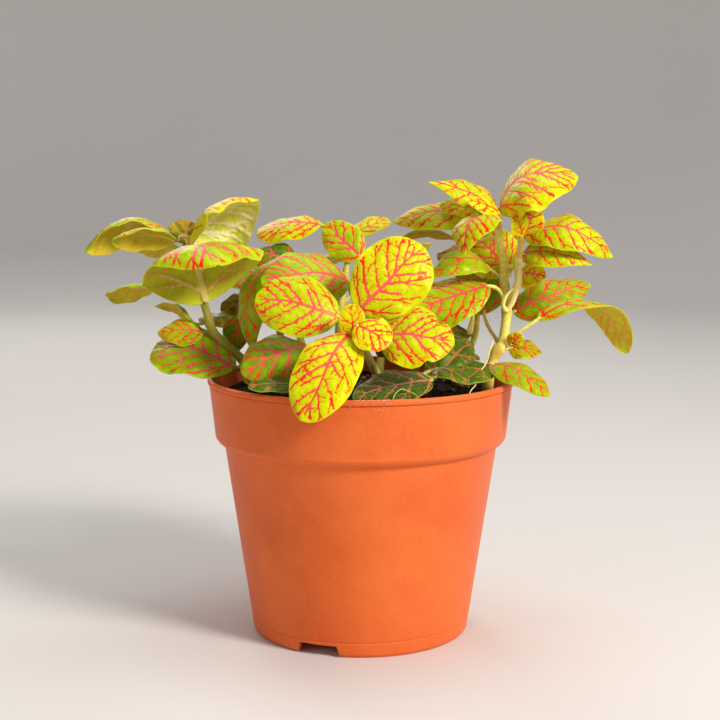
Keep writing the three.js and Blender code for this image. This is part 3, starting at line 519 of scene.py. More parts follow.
def stem_material():
    s = Shader("stem")
    where = s.place()
    woody = s.attribute("woody")
    tint = s.attribute("tint")
    streak = s.noise(where, 900, 4, 0.65)
    cream = s.mix(s.smooth(streak, 0.3, 0.75), rgb(0.74, 0.63, 0.05), rgb(1.0, 0.86, 0.30))
    olive = s.mix(streak, rgb(0.15, 0.15, 0.01), rgb(0.36, 0.33, 0.04))
    tone = s.attribute("tone")
    cream = s.mix(s.smooth(tone, -0.5, 0.0, 0.8, 0), cream, rgb(0.98, 0.82, 0.38))
    color = s.mix(s.smooth(tone, 0.1, 1.0), cream, olive)
    patchy = s.smooth(s.noise(where, 160, 3), 0.42, 0.66)
    mottle = s.math("MULTIPLY", s.smooth(tint, 0.35, 0.9, 0, 0.5), patchy)
    color = s.mix(mottle, color, rgb(0.60, 0.20, 0.05))
    bark = s.mix(streak, rgb(0.06, 0.035, 0.012), rgb(0.26, 0.15, 0.05))
    bare = s.smooth(s.math("ADD", woody, s.math("MULTIPLY", streak, 0.4)), 0.7, 1.15)
    color = s.mix(bare, color, bark)
    bump = s.bump(streak, 0.00015, 0.6)
    return s.finish(
        Base_Color=color,
        Roughness=0.55,
        Normal=bump,
        Subsurface_Weight=0.2,
        Subsurface_Scale=0.0015,
        Subsurface_Radius=(1.0, 0.8, 0.2),
        Specular_IOR_Level=0.25,
        Specular_Tint=rgb(1.0, 0.95, 0.5),
    )


def hair_material():
    s = Shader("stem_hair")
    color = s.mix(s.noise(s.place(), 400), rgb(0.78, 0.75, 0.52), rgb(0.9, 0.86, 0.7))
    return s.finish(Base_Color=color, Roughness=0.6)


def pot_material():
    s = Shader("pot_plastic")
    where = s.place()
    cloud = s.noise(where, 26, 4, 0.6)
    grain = s.noise(where, 900, 3, 0.7)
    color = s.mix(s.smooth(cloud, 0.3, 0.7), rgb(0.70, 0.115, 0.024), rgb(0.80, 0.158, 0.036))
    color = s.mix(s.smooth(grain, 0.35, 0.8, 0, 0.22), color, rgb(0.90, 0.24, 0.08))
    speck = s.smooth(s.cells(where, 420), 0.05, 0.13, 0.3, 0)
    thinned = s.math("MULTIPLY", speck, s.smooth(s.noise(where, 60), 0.45, 0.65))
    color = s.mix(thinned, color, rgb(0.42, 0.07, 0.025))
    stretched = s.node("Mapping", {"Vector": where, "Scale": (60, 60, 700)}).outputs["Vector"]
    scuff = s.smooth(s.noise(stretched, 1.6, 4, 0.7), 0.62, 0.8, 0, 0.3)
    color = s.mix(scuff, color, rgb(0.90, 0.36, 0.18))
    bump = s.bump(grain, 0.0001, 0.35)
    bump = s.bump(cloud, 0.0012, 0.25, bump)
    gloss = s.smooth(s.math("ADD", cloud, scuff), 0.3, 0.9, 0.4, 0.55)
    return s.finish(
        Base_Color=color,
        Roughness=gloss,
        Normal=bump,
        Specular_IOR_Level=0.22,
        Specular_Tint=rgb(1.0, 0.75, 0.45),
    )


def soil_material():
    s = Shader("soil")
    where = s.place()
    lumps = s.noise(where, 380, 6, 0.7)
    color = s.ramp(
        lumps,
        (0.3, rgb(0.006, 0.004, 0.003)),
        (0.55, rgb(0.024, 0.014, 0.009)),
        (0.75, rgb(0.07, 0.042, 0.025)),
    )
    bump = s.bump(lumps, 0.0016, 1.0)
    return s.finish(Base_Color=color, Roughness=0.95, Normal=bump, Specular_IOR_Level=0.2)


def bark_material(name, *colors):
    s = Shader(name)
    where = s.place()
    grain = s.noise(where, 700, 4, 0.7)
    color = s.ramp(grain, *zip((0.3, 0.6, 0.8), colors))
    return s.finish(Base_Color=color, Roughness=0.9, Normal=s.bump(grain, 0.0006, 0.8))


def white_speck_material():
    s = Shader("white_specks")
    color = s.mix(s.noise(s.place(), 1500), rgb(0.75, 0.74, 0.70), rgb(0.95, 0.95, 0.93))
    return s.finish(Base_Color=color, Roughness=0.5)


# ---------------------------------------------------------------- meshes


class Skin:
    """Points, faces and values that grow bit by bit into one mesh."""

    def __init__(self):
        self.points = []
        self.faces = []
        self.looks = []
        self.values = {}
        self.count = 0

    def add(self, points, faces, look=0, **values):
        """faces is a list of index arrays. look is one material number, or one for each array."""
        points = np.asarray(points, float).reshape(-1, 3)
        self.points.append(points)
        looks = np.broadcast_to(look, (len(faces),))
        for block, number in zip(faces, looks):
            block = np.asarray(block, int)
            self.faces.append(block + self.count)
            self.looks.append(np.full(len(block), number))
        for name, value in values.items():
            given = np.broadcast_to(np.asarray(value, float), (len(points),))
            self.values.setdefault(name, []).append(given)
        self.count += len(points)

    def piece(self, name, materials):
        """The mesh object, in metres."""
        mesh = bpy.data.meshes.new(name)
        points = np.concatenate(self.points) * MM
        mesh.vertices.add(len(points))
        mesh.vertices.foreach_set("co", points.ravel().astype(np.float32))
        corners = np.concatenate([block.ravel() for block in self.faces])
        sizes = np.concatenate([np.full(len(block), block.shape[1]) for block in self.faces])
        mesh.loops.add(len(corners))
        mesh.loops.foreach_set("vertex_index", corners.astype(np.int32))
        mesh.polygons.add(len(sizes))
        starts = np.concatenate([[0], np.cumsum(sizes)[:-1]])
        mesh.polygons.foreach_set("loop_start", starts.astype(np.int32))
        mesh.polygons.foreach_set("material_index", np.concatenate(self.looks).astype(np.int32))
        mesh.polygons.foreach_set("use_smooth", np.ones(len(sizes), bool))
        mesh.update(calc_edges=True)
        for key, blocks in self.values.items():
            layer = mesh.attributes.new(key, "FLOAT", "POINT")
            layer.data.foreach_set("value", np.concatenate(blocks).astype(np.float32))
        for material in materials:
            mesh.materials.append(material)
        made = bpy.data.objects.new(name, mesh)
        bpy.context.scene.collection.objects.link(made)
        return made


def unit(vectors):
    vectors = np.asarray(vectors, float)
    return vectors / np.maximum(np.linalg.norm(vectors, axis=-1, keepdims=True), 1e-12)


def grid_faces(rows, columns, start=0, flipped=False, closed=False):
    """Quads over a grid of points, rows by columns, whose columns may close on themselves."""
    i, j = np.meshgrid(np.arange(rows - 1), np.arange(columns - (not closed)), indexing="ij")
    here = (i * columns + j).ravel()
    right = (i * columns + (j + 1) % columns).ravel()
    quads = np.stack([here, right, right + columns, here + columns], 1)
    return start + (quads[:, ::-1] if flipped else quads)


def swept(points, radii, sides):
    """A round tube along points: its surface points and its faces, with both ends closed."""
    points = np.asarray(points, float)
    radii = np.broadcast_to(np.asarray(radii, float), (len(points),))
    along = unit(np.gradient(points, axis=0))
    side = unit(np.cross(along[0], (0.3, 0.9, 0.1)))
    rings = []
    angle = np.linspace(0, 2 * math.pi, sides, endpoint=False)[:, None]
    for point, heading, radius in zip(points, along, radii):
        side = unit(side - heading * (side @ heading))
        other = np.cross(heading, side)
        rings.append(point + radius * (np.cos(angle) * side + np.sin(angle) * other))
    count = len(points)
    caps = np.stack([np.arange(sides)[::-1], (count - 1) * sides + np.arange(sides)])
    return np.concatenate(rings), [grid_faces(count, sides, closed=True), caps]


def lathed(profile, segments):
    """A body turned about the Z axis. Its profile of (radius, height) starts and ends on it."""
    inner = np.array(profile[1:-1], float)
    angle = np.linspace(0, 2 * math.pi, segments, endpoint=False)
    level = np.broadcast_to(inner[:, 1:], (len(inner), segments))
    rings = np.stack([inner[:, :1] * np.cos(angle), inner[:, :1] * np.sin(angle), level], -1)
    ends = [[0, 0, profile[0][1]], [0, 0, profile[-1][1]]]
    points = np.concatenate([rings.reshape(-1, 3), ends])
    j = np.arange(segments)
    right = (j + 1) % segments
    last = (len(inner) - 1) * segments
    under = np.stack([np.full(segments, len(points) - 2), right, j], 1)
    over = np.stack([np.full(segments, len(points) - 1), last + j, last + right], 1)
    return points, [grid_faces(len(inner), segments, closed=True), under, over]


def rounded(corners):
    """A profile whose corners, given as (radius, height, fillet), are turned to small curves."""
    points = [np.array(corner[:2], float) for corner in corners]
    made = [points[0]]
    for before, here, after, corner in zip(points, points[1:], points[2:], corners[1:]):
        fillet = corner[2]
        if fillet == 0:
            made.append(here)
            continue
        back = here + unit(before - here) * min(fillet, 0.45 * np.linalg.norm(before - here))
        on = here + unit(after - here) * min(fillet, 0.45 * np.linalg.norm(after - here))
        for s in np.linspace(0, 1, FILLET_STEPS):
            made.append((1 - s) ** 2 * back + 2 * s * (1 - s) * here + s**2 * on)
    made.append(points[-1])
    return made


# ---------------------------------------------------------------- pot and soil


def cut(piece, cutters):
    """Takes each cutter, given as points and faces, out of the piece."""
    for points, faces in cutters:
        tool = Skin()
        tool.add(points, faces)
        cutter = tool.piece("cutter", [])
        bite = piece.modifiers.new("bite", "BOOLEAN")
        bite.operation = "DIFFERENCE"
        bite.solver = "EXACT"
        bite.object = cutter
        depsgraph = bpy.context.evaluated_depsgraph_get()
        mesh = bpy.data.meshes.new_from_object(piece.evaluated_get(depsgraph))
        piece.modifiers.clear()
        piece.data = mesh
        bpy.data.objects.remove(cutter)


def build_pot(material):
    """The pot turned from its profile, less the foot's notches and the drain holes."""
    inner = FOOT_RADIUS - FOOT_RING_WIDTH
    profile = rounded(
        [
            (0, FLOOR_UNDERSIDE, 0),
            (inner, FLOOR_UNDERSIDE, 0.4),
            (inner, 0, 0.4),
            (FOOT_RADIUS, 0, 0.4),
            (FOOT_RADIUS + 0.9, 1.2, 0.4),
            (BODY_FOOT_RADIUS - 0.12, BODY_FOOT_HEIGHT - 0.5, 0.1),
            (BODY_FOOT_RADIUS - 0.3, BODY_FOOT_HEIGHT - 0.1, 0.1),
            (BODY_FOOT_RADIUS + 0.05, BODY_FOOT_HEIGHT + 0.4, 0.1),
            (BODY_TOP_RADIUS, BODY_TOP_HEIGHT, 0.6),
            (BODY_TOP_RADIUS + 1.9, BODY_TOP_HEIGHT + 0.5, 1.4),
            (BAND_FOOT_RADIUS - 0.1, BAND_FOOT_HEIGHT - 1.6, 1.4),
            (BAND_FOOT_RADIUS, BAND_FOOT_HEIGHT, 0.8),
            (BAND_TOP_RADIUS, POT_HEIGHT - 2.6, 0.2),
            (BAND_TOP_RADIUS - 0.3, POT_HEIGHT - 2.3, 0.15),
            (RIM_RADIUS, POT_HEIGHT - 1.9, 0.3),
            (RIM_RADIUS, POT_HEIGHT - 0.5, 0.6),
            (RIM_RADIUS - 0.9, POT_HEIGHT, 0.6),
            (BAND_TOP_RADIUS - 1.0, POT_HEIGHT, 0.5),
            (BAND_TOP_RADIUS - WALL, POT_HEIGHT - WALL, 0.5),
            (BAND_FOOT_RADIUS - WALL, BAND_FOOT_HEIGHT, 0.8),
            (BODY_TOP_RADIUS - WALL, BODY_TOP_HEIGHT, 0.8),
            (BODY_FOOT_RADIUS - WALL, FLOOR_TOP, 0.8),
            (0, FLOOR_TOP, 0),
        ]
    )
    skin = Skin()
    skin.add(*lathed(profile, POT_SEGMENTS))
    pot = skin.piece("nursery_pot", [material])
    cutters = []
    half = NOTCH_WIDTH / 2
    top = half - NOTCH_SLANT
    outline = [(-half, -1), (half, -1), (top, NOTCH_HEIGHT), (-top, NOTCH_HEIGHT)]
    for angle in NOTCH_ANGLES:
        out = direction(angle, 0)
        across = np.array([-out[1], out[0], 0])
        ends = [[out * reach + across * x + (0, 0, z) for x, z in outline] for reach in NOTCH_REACH]
        caps = np.array([[3, 2, 1, 0], [4, 5, 6, 7]])
        cutters.append((ends, [grid_faces(2, 4, closed=True), caps]))
    for hole in range(DRAIN_HOLES):
        centre = DRAIN_CIRCLE * direction(360 * hole / DRAIN_HOLES, 0)
        line = [centre + (0, 0, FLOOR_UNDERSIDE - 2.5), centre + (0, 0, FLOOR_TOP + 3)]
        cutters.append(swept(line, DRAIN_RADIUS, 32))
    cut(pot, cutters)
    pot.data.set_sharp_from_angle(angle=math.radians(SHARP_ANGLE))
    return pot


def soil_height(x, y):
    """The crumbly surface of the soil, crowned a little in the middle."""
    share = math.hypot(x, y) / SOIL_EDGE_RADIUS
    crown = SOIL_CROWN_HEIGHT - (SOIL_CROWN_HEIGHT - SOIL_EDGE_HEIGHT) * share**2
    lumps = SOIL_LUMPS * noise.fractal(Vector((x, y, 3)) * 0.12, 1.0, 2.0, 5)
    return crown - SOIL_SINK + lumps


def build_soil(material):
    """The plug of soil, with a lumpy top."""
    inset = WALL + SOIL_GAP
    profile = [
        (0, FLOOR_TOP + 0.3),
        (SOIL_FOOT_RADIUS, FLOOR_TOP + 0.3),
        (BODY_TOP_RADIUS - inset, BODY_TOP_HEIGHT),
        (BAND_FOOT_RADIUS - inset, BAND_FOOT_HEIGHT),
    ]
    for share in np.linspace(1, 0.01, SOIL_RINGS):
        profile.append((SOIL_EDGE_RADIUS * share, SOIL_EDGE_HEIGHT))
    profile.append((0, SOIL_CROWN_HEIGHT))
    points, faces = lathed(profile, SOIL_SEGMENTS)
    for point in points:
        if point[2] > SOIL_EDGE_HEIGHT - 1:
            point[2] = soil_height(point[0], point[1])
    skin = Skin()
    skin.add(points, faces)
    return skin.piece("potting_soil", [material])


def lump(rng, centre, size, stretch=(1, 1, 1)):
    """A small irregular crumb as points and triangles."""
    golden = (1 + 5**0.5) / 2
    corners = [(-1, golden, 0), (1, golden, 0), (-1, -golden, 0), (1, -golden, 0)]
    corners += [(0, -1, golden), (0, 1, golden), (0, -1, -golden), (0, 1, -golden)]
    corners += [(golden, 0, -1), (golden, 0, 1), (-golden, 0, -1), (-golden, 0, 1)]
    faces = [(0, 11, 5), (0, 5, 1), (0, 1, 7), (0, 7, 10), (0, 10, 11), (1, 5, 9), (5, 11, 4)]
    faces += [(11, 10, 2), (10, 7, 6), (7, 1, 8), (3, 9, 4), (3, 4, 2), (3, 2, 6), (3, 6, 8)]
    faces += [(3, 8, 9), (4, 9, 5), (2, 4, 11), (6, 2, 10), (8, 6, 7), (9, 8, 1)]
    points = unit(corners) * rng.uniform(0.6, 1.15, (12, 1)) * np.array(stretch)
    spin = Matrix.Rotation(rng.uniform(0, 6.28), 3, "Z")
    turn = spin @ Matrix.Rotation(rng.uniform(-0.5, 0.5), 3, "X")
    return points @ np.array(turn) * size / 2 + centre, [np.array(faces)]


def scattered(rng, radius):
    """A place anywhere in a circle about the pot's axis."""
    reach = radius * math.sqrt(rng.uniform())
    angle = rng.uniform(0, 2 * math.pi)
    return reach * math.cos(angle), reach * math.sin(angle)


def build_crumbs(soil_look, bark_look, wood_look):
    """Loose crumbs of soil, a few bits of bark, and pale woody debris at two places."""
    rng = np.random.default_rng(7)
    crumbs = Skin()
    for _ in range(CRUMBS):
        x, y = scattered(rng, SOIL_EDGE_RADIUS - 1.5)
        size = rng.uniform(0.5, 1.2) + 2.2 * rng.uniform() ** 6
        crumbs.add(*lump(rng, (x, y, soil_height(x, y) + 0.1 * size), size, (1.2, 1, 0.8)))
    bark = [(place, rng.uniform(3, 6)) for place in BARK_PLACES]
    for _ in range(BARK_BITS):
        place = scattered(rng, SOIL_EDGE_RADIUS - 4)
        bark.append((place, rng.uniform(2, 5)))
    for (x, y), size in bark:
        centre = (x, y, soil_height(x, y) + 0.4)
        crumbs.add(*lump(rng, centre, size, (1.3, 0.6, 0.4)), look=1)
    for count, middle, spread, sizes in (
        (WOOD_BITS, WOOD_PLACE, WOOD_SPREAD, (1.2, 4)),
        (SCALES, SCALE_PLACE, SCALE_SPREAD, (0.8, 2)),
    ):
        for _ in range(count):
            centre = rng.normal(middle, spread)
            crumbs.add(*lump(rng, centre, rng.uniform(*sizes), (1.2, 0.7, 0.7)), look=2)
    return crumbs.piece("soil_crumbs", [soil_look, bark_look, wood_look])


def build_specks(leaf, material):
    """White specks on the front of the rim and on the dark leaf behind it."""
    rng = np.random.default_rng(11)
    specks = Skin()
    for _ in range(RIM_SPECKS):
        x = rng.uniform(*RIM_SPECK_RANGE) if rng.uniform() < 0.6 else rng.normal(7, 2)
        reach = RIM_RADIUS + rng.choice([-1.2, -0.5, 0.05])
        height = POT_HEIGHT - (0 if reach < RIM_RADIUS else rng.uniform(0.6, 4))
        place = (x, -math.sqrt(reach**2 - x**2), height)
        specks.add(*lump(rng, place, rng.uniform(0.12, 0.4)))
    stations = rng.beta(1.5, 2.5, LEAF_SPECKS)
    lanes = rng.uniform(-0.9, 0.9, LEAF_SPECKS)
    for station, lane in zip(stations, lanes):
        place = blade_points(leaf, np.array([station]), np.array([lane]))[0, 0]
        specks.add(*lump(rng, place + (0, 0, 0.75), rng.uniform(0.15, 0.45)))
    return specks.piece("white_specks", [material])


# ---------------------------------------------------------------- veins

Vein = namedtuple("Vein", "x0 y0 x1 y1 r0 r1")


class VeinTree:
    """The veins of one leaf as short rows laid out flat: x runs from base to tip, y across. A
    vein stops before it meets another, which the claimed cells of a grid tell. Each grown vein
    is kept as its number, its side and its places, where others may leave."""

    def __init__(self, rng, leaf, length):
        self.rng = rng
        self.leaf = leaf
        self.length = length
        self.plain = np.interp(leaf.age, [0.35, 0.6], [0, 1])
        self.bold = (leaf.width / COMMON_WIDTH) ** 0.55 * np.interp(leaf.age, [0.8, 0.9], [1, 0.7])
        self.rows = []
        self.claimed = {}
        self.grown = []
        self.add_sides(*self.add_midrib())
        self.add_forks()
        self.add_thorns()
        self.add_dots()

    def half_at(self, x):
        station = min(max(x / self.length, 0), 1)
        return half_width(station, self.leaf.width, self.leaf.point)

    def cell(self, x, y):
        return round(x / VEIN_GAP), round(y / VEIN_GAP)

    def crowded(self, x, y, family):
        """Whether a vein outside the family has claimed a cell at or beside this place."""
        column, row = self.cell(x, y)
        around = [(column + i, row + j) for i in (-1, 0, 1) for j in (-1, 0, 1)]
        return any(self.claimed[spot] not in family for spot in around if spot in self.claimed)

    def grow(self, number, parent, x, y, angle, radius, reach, end_share):
        """Adds one vein and gives back its places: x, y, heading, radius, share of the half."""
        gone = 0
        sway = self.rng.uniform(0, 6.28)
        places = []
        while gone < reach:
            share = min(1, abs(y) / max(self.half_at(x), 1e-3))
            if share > end_share or not 0 < x < 0.96 * self.length:
                break
            if gone > 1.6 * VEIN_GAP and self.crowded(x, y, (number, parent)):
                break
            heading = angle * (1 - 0.35 * share)
            heading += 0.15 * math.sin(gone * 1.1 + sway) + 0.12 * math.sin(gone * 2.9 + 2 * sway)
            nx = x + VEIN_PACE * math.cos(heading)
            ny = y + VEIN_PACE * math.sin(heading)
            taper = 1 - 0.35 * share if reach > self.length / 2 else 1 - 0.55 * gone / reach
            thick = radius * taper * (1 + 0.2 * math.sin(gone * 1.9 + 3 * sway))
            self.rows.append(Vein(x, y, nx, ny, thick, thick))
            places.append((x, y, heading, thick, share))
            self.claimed.setdefault(self.cell(x, y), number)
            x, y = nx, ny
            gone += VEIN_PACE
        return places

    def add_midrib(self):
        """Gives back the midrib's line, which the side veins leave."""
        share = np.linspace(0, 1, MIDRIB_STEPS)
        xs = np.linspace(-0.01, 0.95, MIDRIB_STEPS) * self.length
        sway = np.sin(np.linspace(0, 9, MIDRIB_STEPS) + self.rng.uniform(0, 6)) * share
        ys = 0.018 * self.length * sway
        radii = self.bold * np.interp(share, [0, 0.3, 0.7, 1], [0.85, 0.66, 0.42, 0.24])
        for k in range(MIDRIB_STEPS - 1):
            self.rows.append(Vein(xs[k], ys[k], xs[k + 1], ys[k + 1], radii[k], radii[k + 1]))
            for part in (0, 0.5):
                x = xs[k] + part * (xs[k + 1] - xs[k])
                y = ys[k] + part * (ys[k + 1] - ys[k])
                self.claimed.setdefault(self.cell(x, y), 0)
        return xs, ys

    def add_sides(self, xs, ys):
        """Pairs of side veins, from the midrib to near the margins."""
        rng = self.rng
        pairs = (5 if self.leaf.width < 18 else 7) - round(2 * self.plain)
        for k in range(pairs):
            for side in (-1, 1):
                station = 0.05 + 0.8 * (k / (pairs - 1)) ** 0.95 + rng.uniform(-0.025, 0.025)
                station = min(max(station, 0.03), 0.88)
                turn = np.interp(station, [0, 0.5, 1], [64, 46, 30]) + rng.uniform(-7, 7)
                thick = self.bold * np.interp(station, [0, 0.4, 1], [0.42, 0.48, 0.32])
                thick *= rng.uniform(0.8, 1.15)
                x = station * self.length
                y = float(np.interp(x, xs, ys))
                end_share = rng.uniform(0.84, 0.93)
                number = len(self.grown) + 1
                angle = side * math.radians(turn)
                places = self.grow(number, 0, x, y, angle, thick, self.length, end_share)
                self.grown.append((number, side, places))

    def add_forks(self):
        """Branches that leave the side veins to one side and the other in turn."""
        rng = self.rng
        for parent, side, leaving in list(self.grown):
            wanted = rng.uniform(0.3, 0.5)
            for x, y, heading, thick, share in leaving:
                if share < wanted or share > 0.8:
                    continue
                angle = heading + side * math.radians(rng.uniform(26, 42))
                number = len(self.grown) + 1
                end_share = rng.uniform(0.82, 0.92)
                places = self.grow(number, parent, x, y, angle, 0.85 * thick, self.length, end_share)
                self.grown.append((number, side, places))
                side = -side
                wanted = share + rng.uniform(0.14, 0.3) * (1 + self.plain)

    def add_thorns(self):
        """Short spurs on both sides of every vein."""
        rng = self.rng
        number = len(self.grown)
        for parent, side, leaving in self.grown:
            wait = rng.uniform(0.8, 2.2)
            for x, y, heading, thick, _ in leaving:
                wait -= VEIN_PACE
                if wait > 0:
                    continue
                number += 1
                angle = heading + side * math.radians(rng.uniform(50, 88))
                reach = rng.uniform(0.6, 1.7) + 2.6 * (rng.uniform() < 0.22)
                self.grow(number, parent, x, y, angle, 0.62 * thick, reach, 0.93)
                side = -side if rng.uniform() < 0.8 else side
                wait = rng.uniform(1.0, 2.3) * (1 + self.plain)

    def add_dots(self):
        """Stray dots of the veins' colour in the cells of younger leaves."""
        rng = self.rng
        for _ in range(int(0.035 * self.length * self.leaf.width * (1 - self.plain))):
            x = rng.uniform(0.05, 0.9) * self.length
            y = rng.uniform(-0.85, 0.85) * self.half_at(x)
            size = rng.uniform(0.05, 0.22)
            self.rows.append(Vein(x, y, x + 0.2, y + 0.1, size, size))


def nearest_vein(rows, x, y):
    """For each flat point, how far it lies outside the nearest vein, and that vein's radius."""
    best = np.full(x.shape, 99.0)
    girth = np.zeros(x.shape)
    for x0, y0, x1, y1, r0, r1 in rows:
        dx, dy = x1 - x0, y1 - y0
        share = np.clip(((x - x0) * dx + (y - y0) * dy) / (dx * dx + dy * dy), 0, 1)
        radius = r0 + share * (r1 - r0)
        away = np.hypot(x - x0 - share * dx, y - y0 - share * dy) - radius
        nearer = away < best
        best = np.where(nearer, away, best)
        girth = np.where(nearer, radius, girth)
    return best, girth


# ---------------------------------------------------------------- leaves


def direction(azimuth, elevation):
    """The unit vector that looks this way, in degrees from +X and from level."""
    turn = math.radians(azimuth)
    tilt = math.radians(elevation)
    level = math.cos(tilt)
    return np.array([level * math.cos(turn), level * math.sin(turn), math.sin(tilt)])


def half_width(station, width, point):
    """Half the blade's width at a station from 0 at the base to 1 at the tip."""
    widest = BASE_ROUNDNESS / (BASE_ROUNDNESS + point)
    most = widest**BASE_ROUNDNESS * (1 - widest) ** point
    return 0.5 * width * station**BASE_ROUNDNESS * (1 - station) ** point / most


def midrib(leaf):
    """The base, crest and tip of the curve that the midrib follows, and the upper side."""
    base, tip = np.array(leaf.base, float), np.array(leaf.tip, float)
    chord = tip - base
    along = unit(chord)
    upper = direction(*leaf.face)
    upper = unit(upper - along * (upper @ along))
    crest = base + CREST_SHARE * chord + 2 * leaf.bow * np.linalg.norm(chord) * upper
    return base, crest, tip, upper


def blade_points(leaf, stations, lanes):
    """The blade's middle surface, stations by lanes, as points in millimetres."""
    base, crest, tip, upper = midrib(leaf)
    t = stations[:, None]
    centre = (1 - t) ** 2 * base + 2 * t * (1 - t) * crest + t**2 * tip
    along = unit((1 - t) * (crest - base) + t * (tip - crest))
    side = unit(np.cross(along, upper))
    normal = np.cross(side, along)
    turn = np.radians(leaf.twist) * (t - TWIST_REST)
    across = side * np.cos(turn) + normal * np.sin(turn)
    over = normal * np.cos(turn) - side * np.sin(turn)
    half = half_width(stations, leaf.width, leaf.point)[:, None, None]
    slim = np.sqrt(2 * half / leaf.width)
    t = t[:, :, None]
    lane = lanes[None, :, None]
    reach = np.abs(lane)
    chord = np.linalg.norm(tip - base)
    swing = np.sin(2 * math.pi * WAVES * t + WAVE_OFFSET * np.sign(lane) + chord)
    wave = MARGIN_WAVE * leaf.width * swing * reach**3 * slim
    swing = np.sin(RIPPLE_PACE * t + RIPPLE_OFFSET * np.sign(lane) + chord)
    ripple = RIPPLE * leaf.width * swing * reach**5 * slim
    out = half * lane * (1 - ARCH_DRAW_IN * abs(leaf.arch) * reach**2)
    rise = half * (MIDRIB_FOLD * reach - leaf.arch * lane**2) + wave + ripple
    return centre[:, None, :] + across[:, None, :] * out + over[:, None, :] * rise


def nicked(points, stations, lanes, nicks):
    """Draws the margin in towards the midrib at each nick."""
    for station, side, depth, width in nicks:
        pull = depth * np.exp(-(((stations - station) / width) ** 2))[:, None]
        pull = pull * np.clip(side * lanes, 0, 1) ** 3
        middle = points[:, len(lanes) // 2][:, None, :]
        points = points + (middle - points) * pull[..., None]
    return points


def blade_walls(rows, columns):
    """Quads that join the upper grid's margins to those of the under grid, which follows it."""
    count = rows * columns
    i = np.arange(rows - 1) * columns
    j = np.arange(columns - 1)
    edge = i + columns - 1
    last = count - columns + j
    left = np.stack([i, i + columns, count + i + columns, count + i], 1)
    right = np.stack([edge, count + edge, count + edge + columns, edge + columns], 1)
    foot = np.stack([j, count + j, count + j + 1, j + 1], 1)
    end = np.stack([last, last + 1, count + last + 1, count + last], 1)
    return [left, right, foot, end]


def lay_out(mesh, corners, even, lanes):
    """The bake layout: upper side and underside side by side, the thin walls in a strip."""
    rows = len(even)
    columns = len(lanes)
    count = rows * columns
    across = np.tile((lanes + 1) / 2, rows)
    along = 0.005 + 0.99 * np.repeat(even, columns)
    upper = np.stack([0.005 + 0.48 * across, along], 1)
    under = np.stack([0.495 + 0.48 * across, along], 1)
    uv = np.concatenate([upper, under])[corners]
    row, column = np.divmod(corners % count, columns)
    below = corners >= count
    walls = 2 * (rows - 1) * (columns - 1) * 4
    caps = walls + 2 * (rows - 1) * 4
    side = np.where(column == 0, 0.98, 0.99) + 0.006 * below
    uv[walls:caps] = np.stack([side, 0.005 + 0.99 * even[row]], 1)[walls:caps]
    cap = np.where(row == rows - 1, 0.998, 0.001) + 0.001 * below
    uv[caps:] = np.stack([0.98 + 0.016 * column / (columns - 1), cap], 1)[caps:]
    layer = mesh.uv_layers.new(name="OFBake")
    layer.data.foreach_set("uv", uv.ravel().astype(np.float32))


def build_leaf(name, leaf, seed, materials):
    """A blade puffed up between its veins, with the veins as ridges on its underside."""
    rng = np.random.default_rng(seed)
    base, crest, tip, _ = midrib(leaf)
    sides = np.linalg.norm(crest - base) + np.linalg.norm(tip - crest)
    length = 0.5 * np.linalg.norm(tip - base) + 0.5 * sides
    rows = int(np.clip(length / GRID_STEP, *GRID_ROWS))
    columns = int(np.clip(leaf.width / GRID_STEP, *GRID_COLUMNS)) | 1
    even = np.linspace(0, 1, rows)
    stations = 0.002 + 0.996 * (0.6 * even + 0.4 * (0.5 - 0.5 * np.cos(math.pi * even)))
    spread = np.linspace(-1, 1, columns)
    lanes = np.sin(spread * math.pi / 2) * 0.35 + spread * 0.65
    points = blade_points(leaf, stations, lanes)
    points = nicked(points, stations, lanes, NICKS.get(name, ()))
    normal = unit(np.cross(np.gradient(points, axis=1), np.gradient(points, axis=0)))
    half = half_width(stations, leaf.width, leaf.point)[:, None]
    off_middle = np.abs(lanes)[None, :]

    x = np.broadcast_to(stations[:, None] * length, (rows, columns))
    y = half * lanes[None, :]
    away, girth = nearest_vein(VeinTree(rng, leaf, length).rows, x, y)
    scale = (leaf.width / COMMON_WIDTH) ** 0.6
    outside = np.maximum(away, 0)
    puff = PUFF_HEIGHT * scale * (1 - np.exp(-((outside / (PUFF_REACH * scale)) ** 2)))
    puff = puff * (1 - off_middle**6)
    ridge = RIDGE_HEIGHT * girth * np.exp(-((outside / RIDGE_REACH) ** 2))
    thick = BLADE_THICKNESS * (1 - 0.65 * off_middle**4) * np.ones((rows, 1))
    top = points + normal * (thick / 2 + puff)[..., None]
    under = points + normal * (0.85 * puff - thick / 2 - ridge)[..., None]

    def both(grid):
        return np.concatenate([grid.ravel(), grid.ravel()])

    faces = [grid_faces(rows, columns), grid_faces(rows, columns, rows * columns, flipped=True)]
    skin = Skin()
    skin.add(
        np.concatenate([top.reshape(-1, 3), under.reshape(-1, 3)]),
        faces + blade_walls(rows, columns),
        look=[0, 1, 0, 0, 0, 0],
        vein=both(away),
        girth=both(np.clip(girth / 0.7, 0, 1)),
        rim=both(half * (1 - off_middle)),
        age=leaf.age,
        blush=leaf.blush,
    )
    made = skin.piece(name, materials)
    flat = np.stack([x + 60 * rng.uniform(), y, np.full(x.shape, 10 * rng.uniform())], -1)
    layer = made.data.attributes.new("flat", "FLOAT_VECTOR", "POINT")
    layer.data.foreach_set("vector", both(flat).astype(np.float32))
    corners = np.concatenate([block.ravel() for block in skin.faces])
    lay_out(made.data, corners, even, lanes)
    return made


# ---------------------------------------------------------------- stems


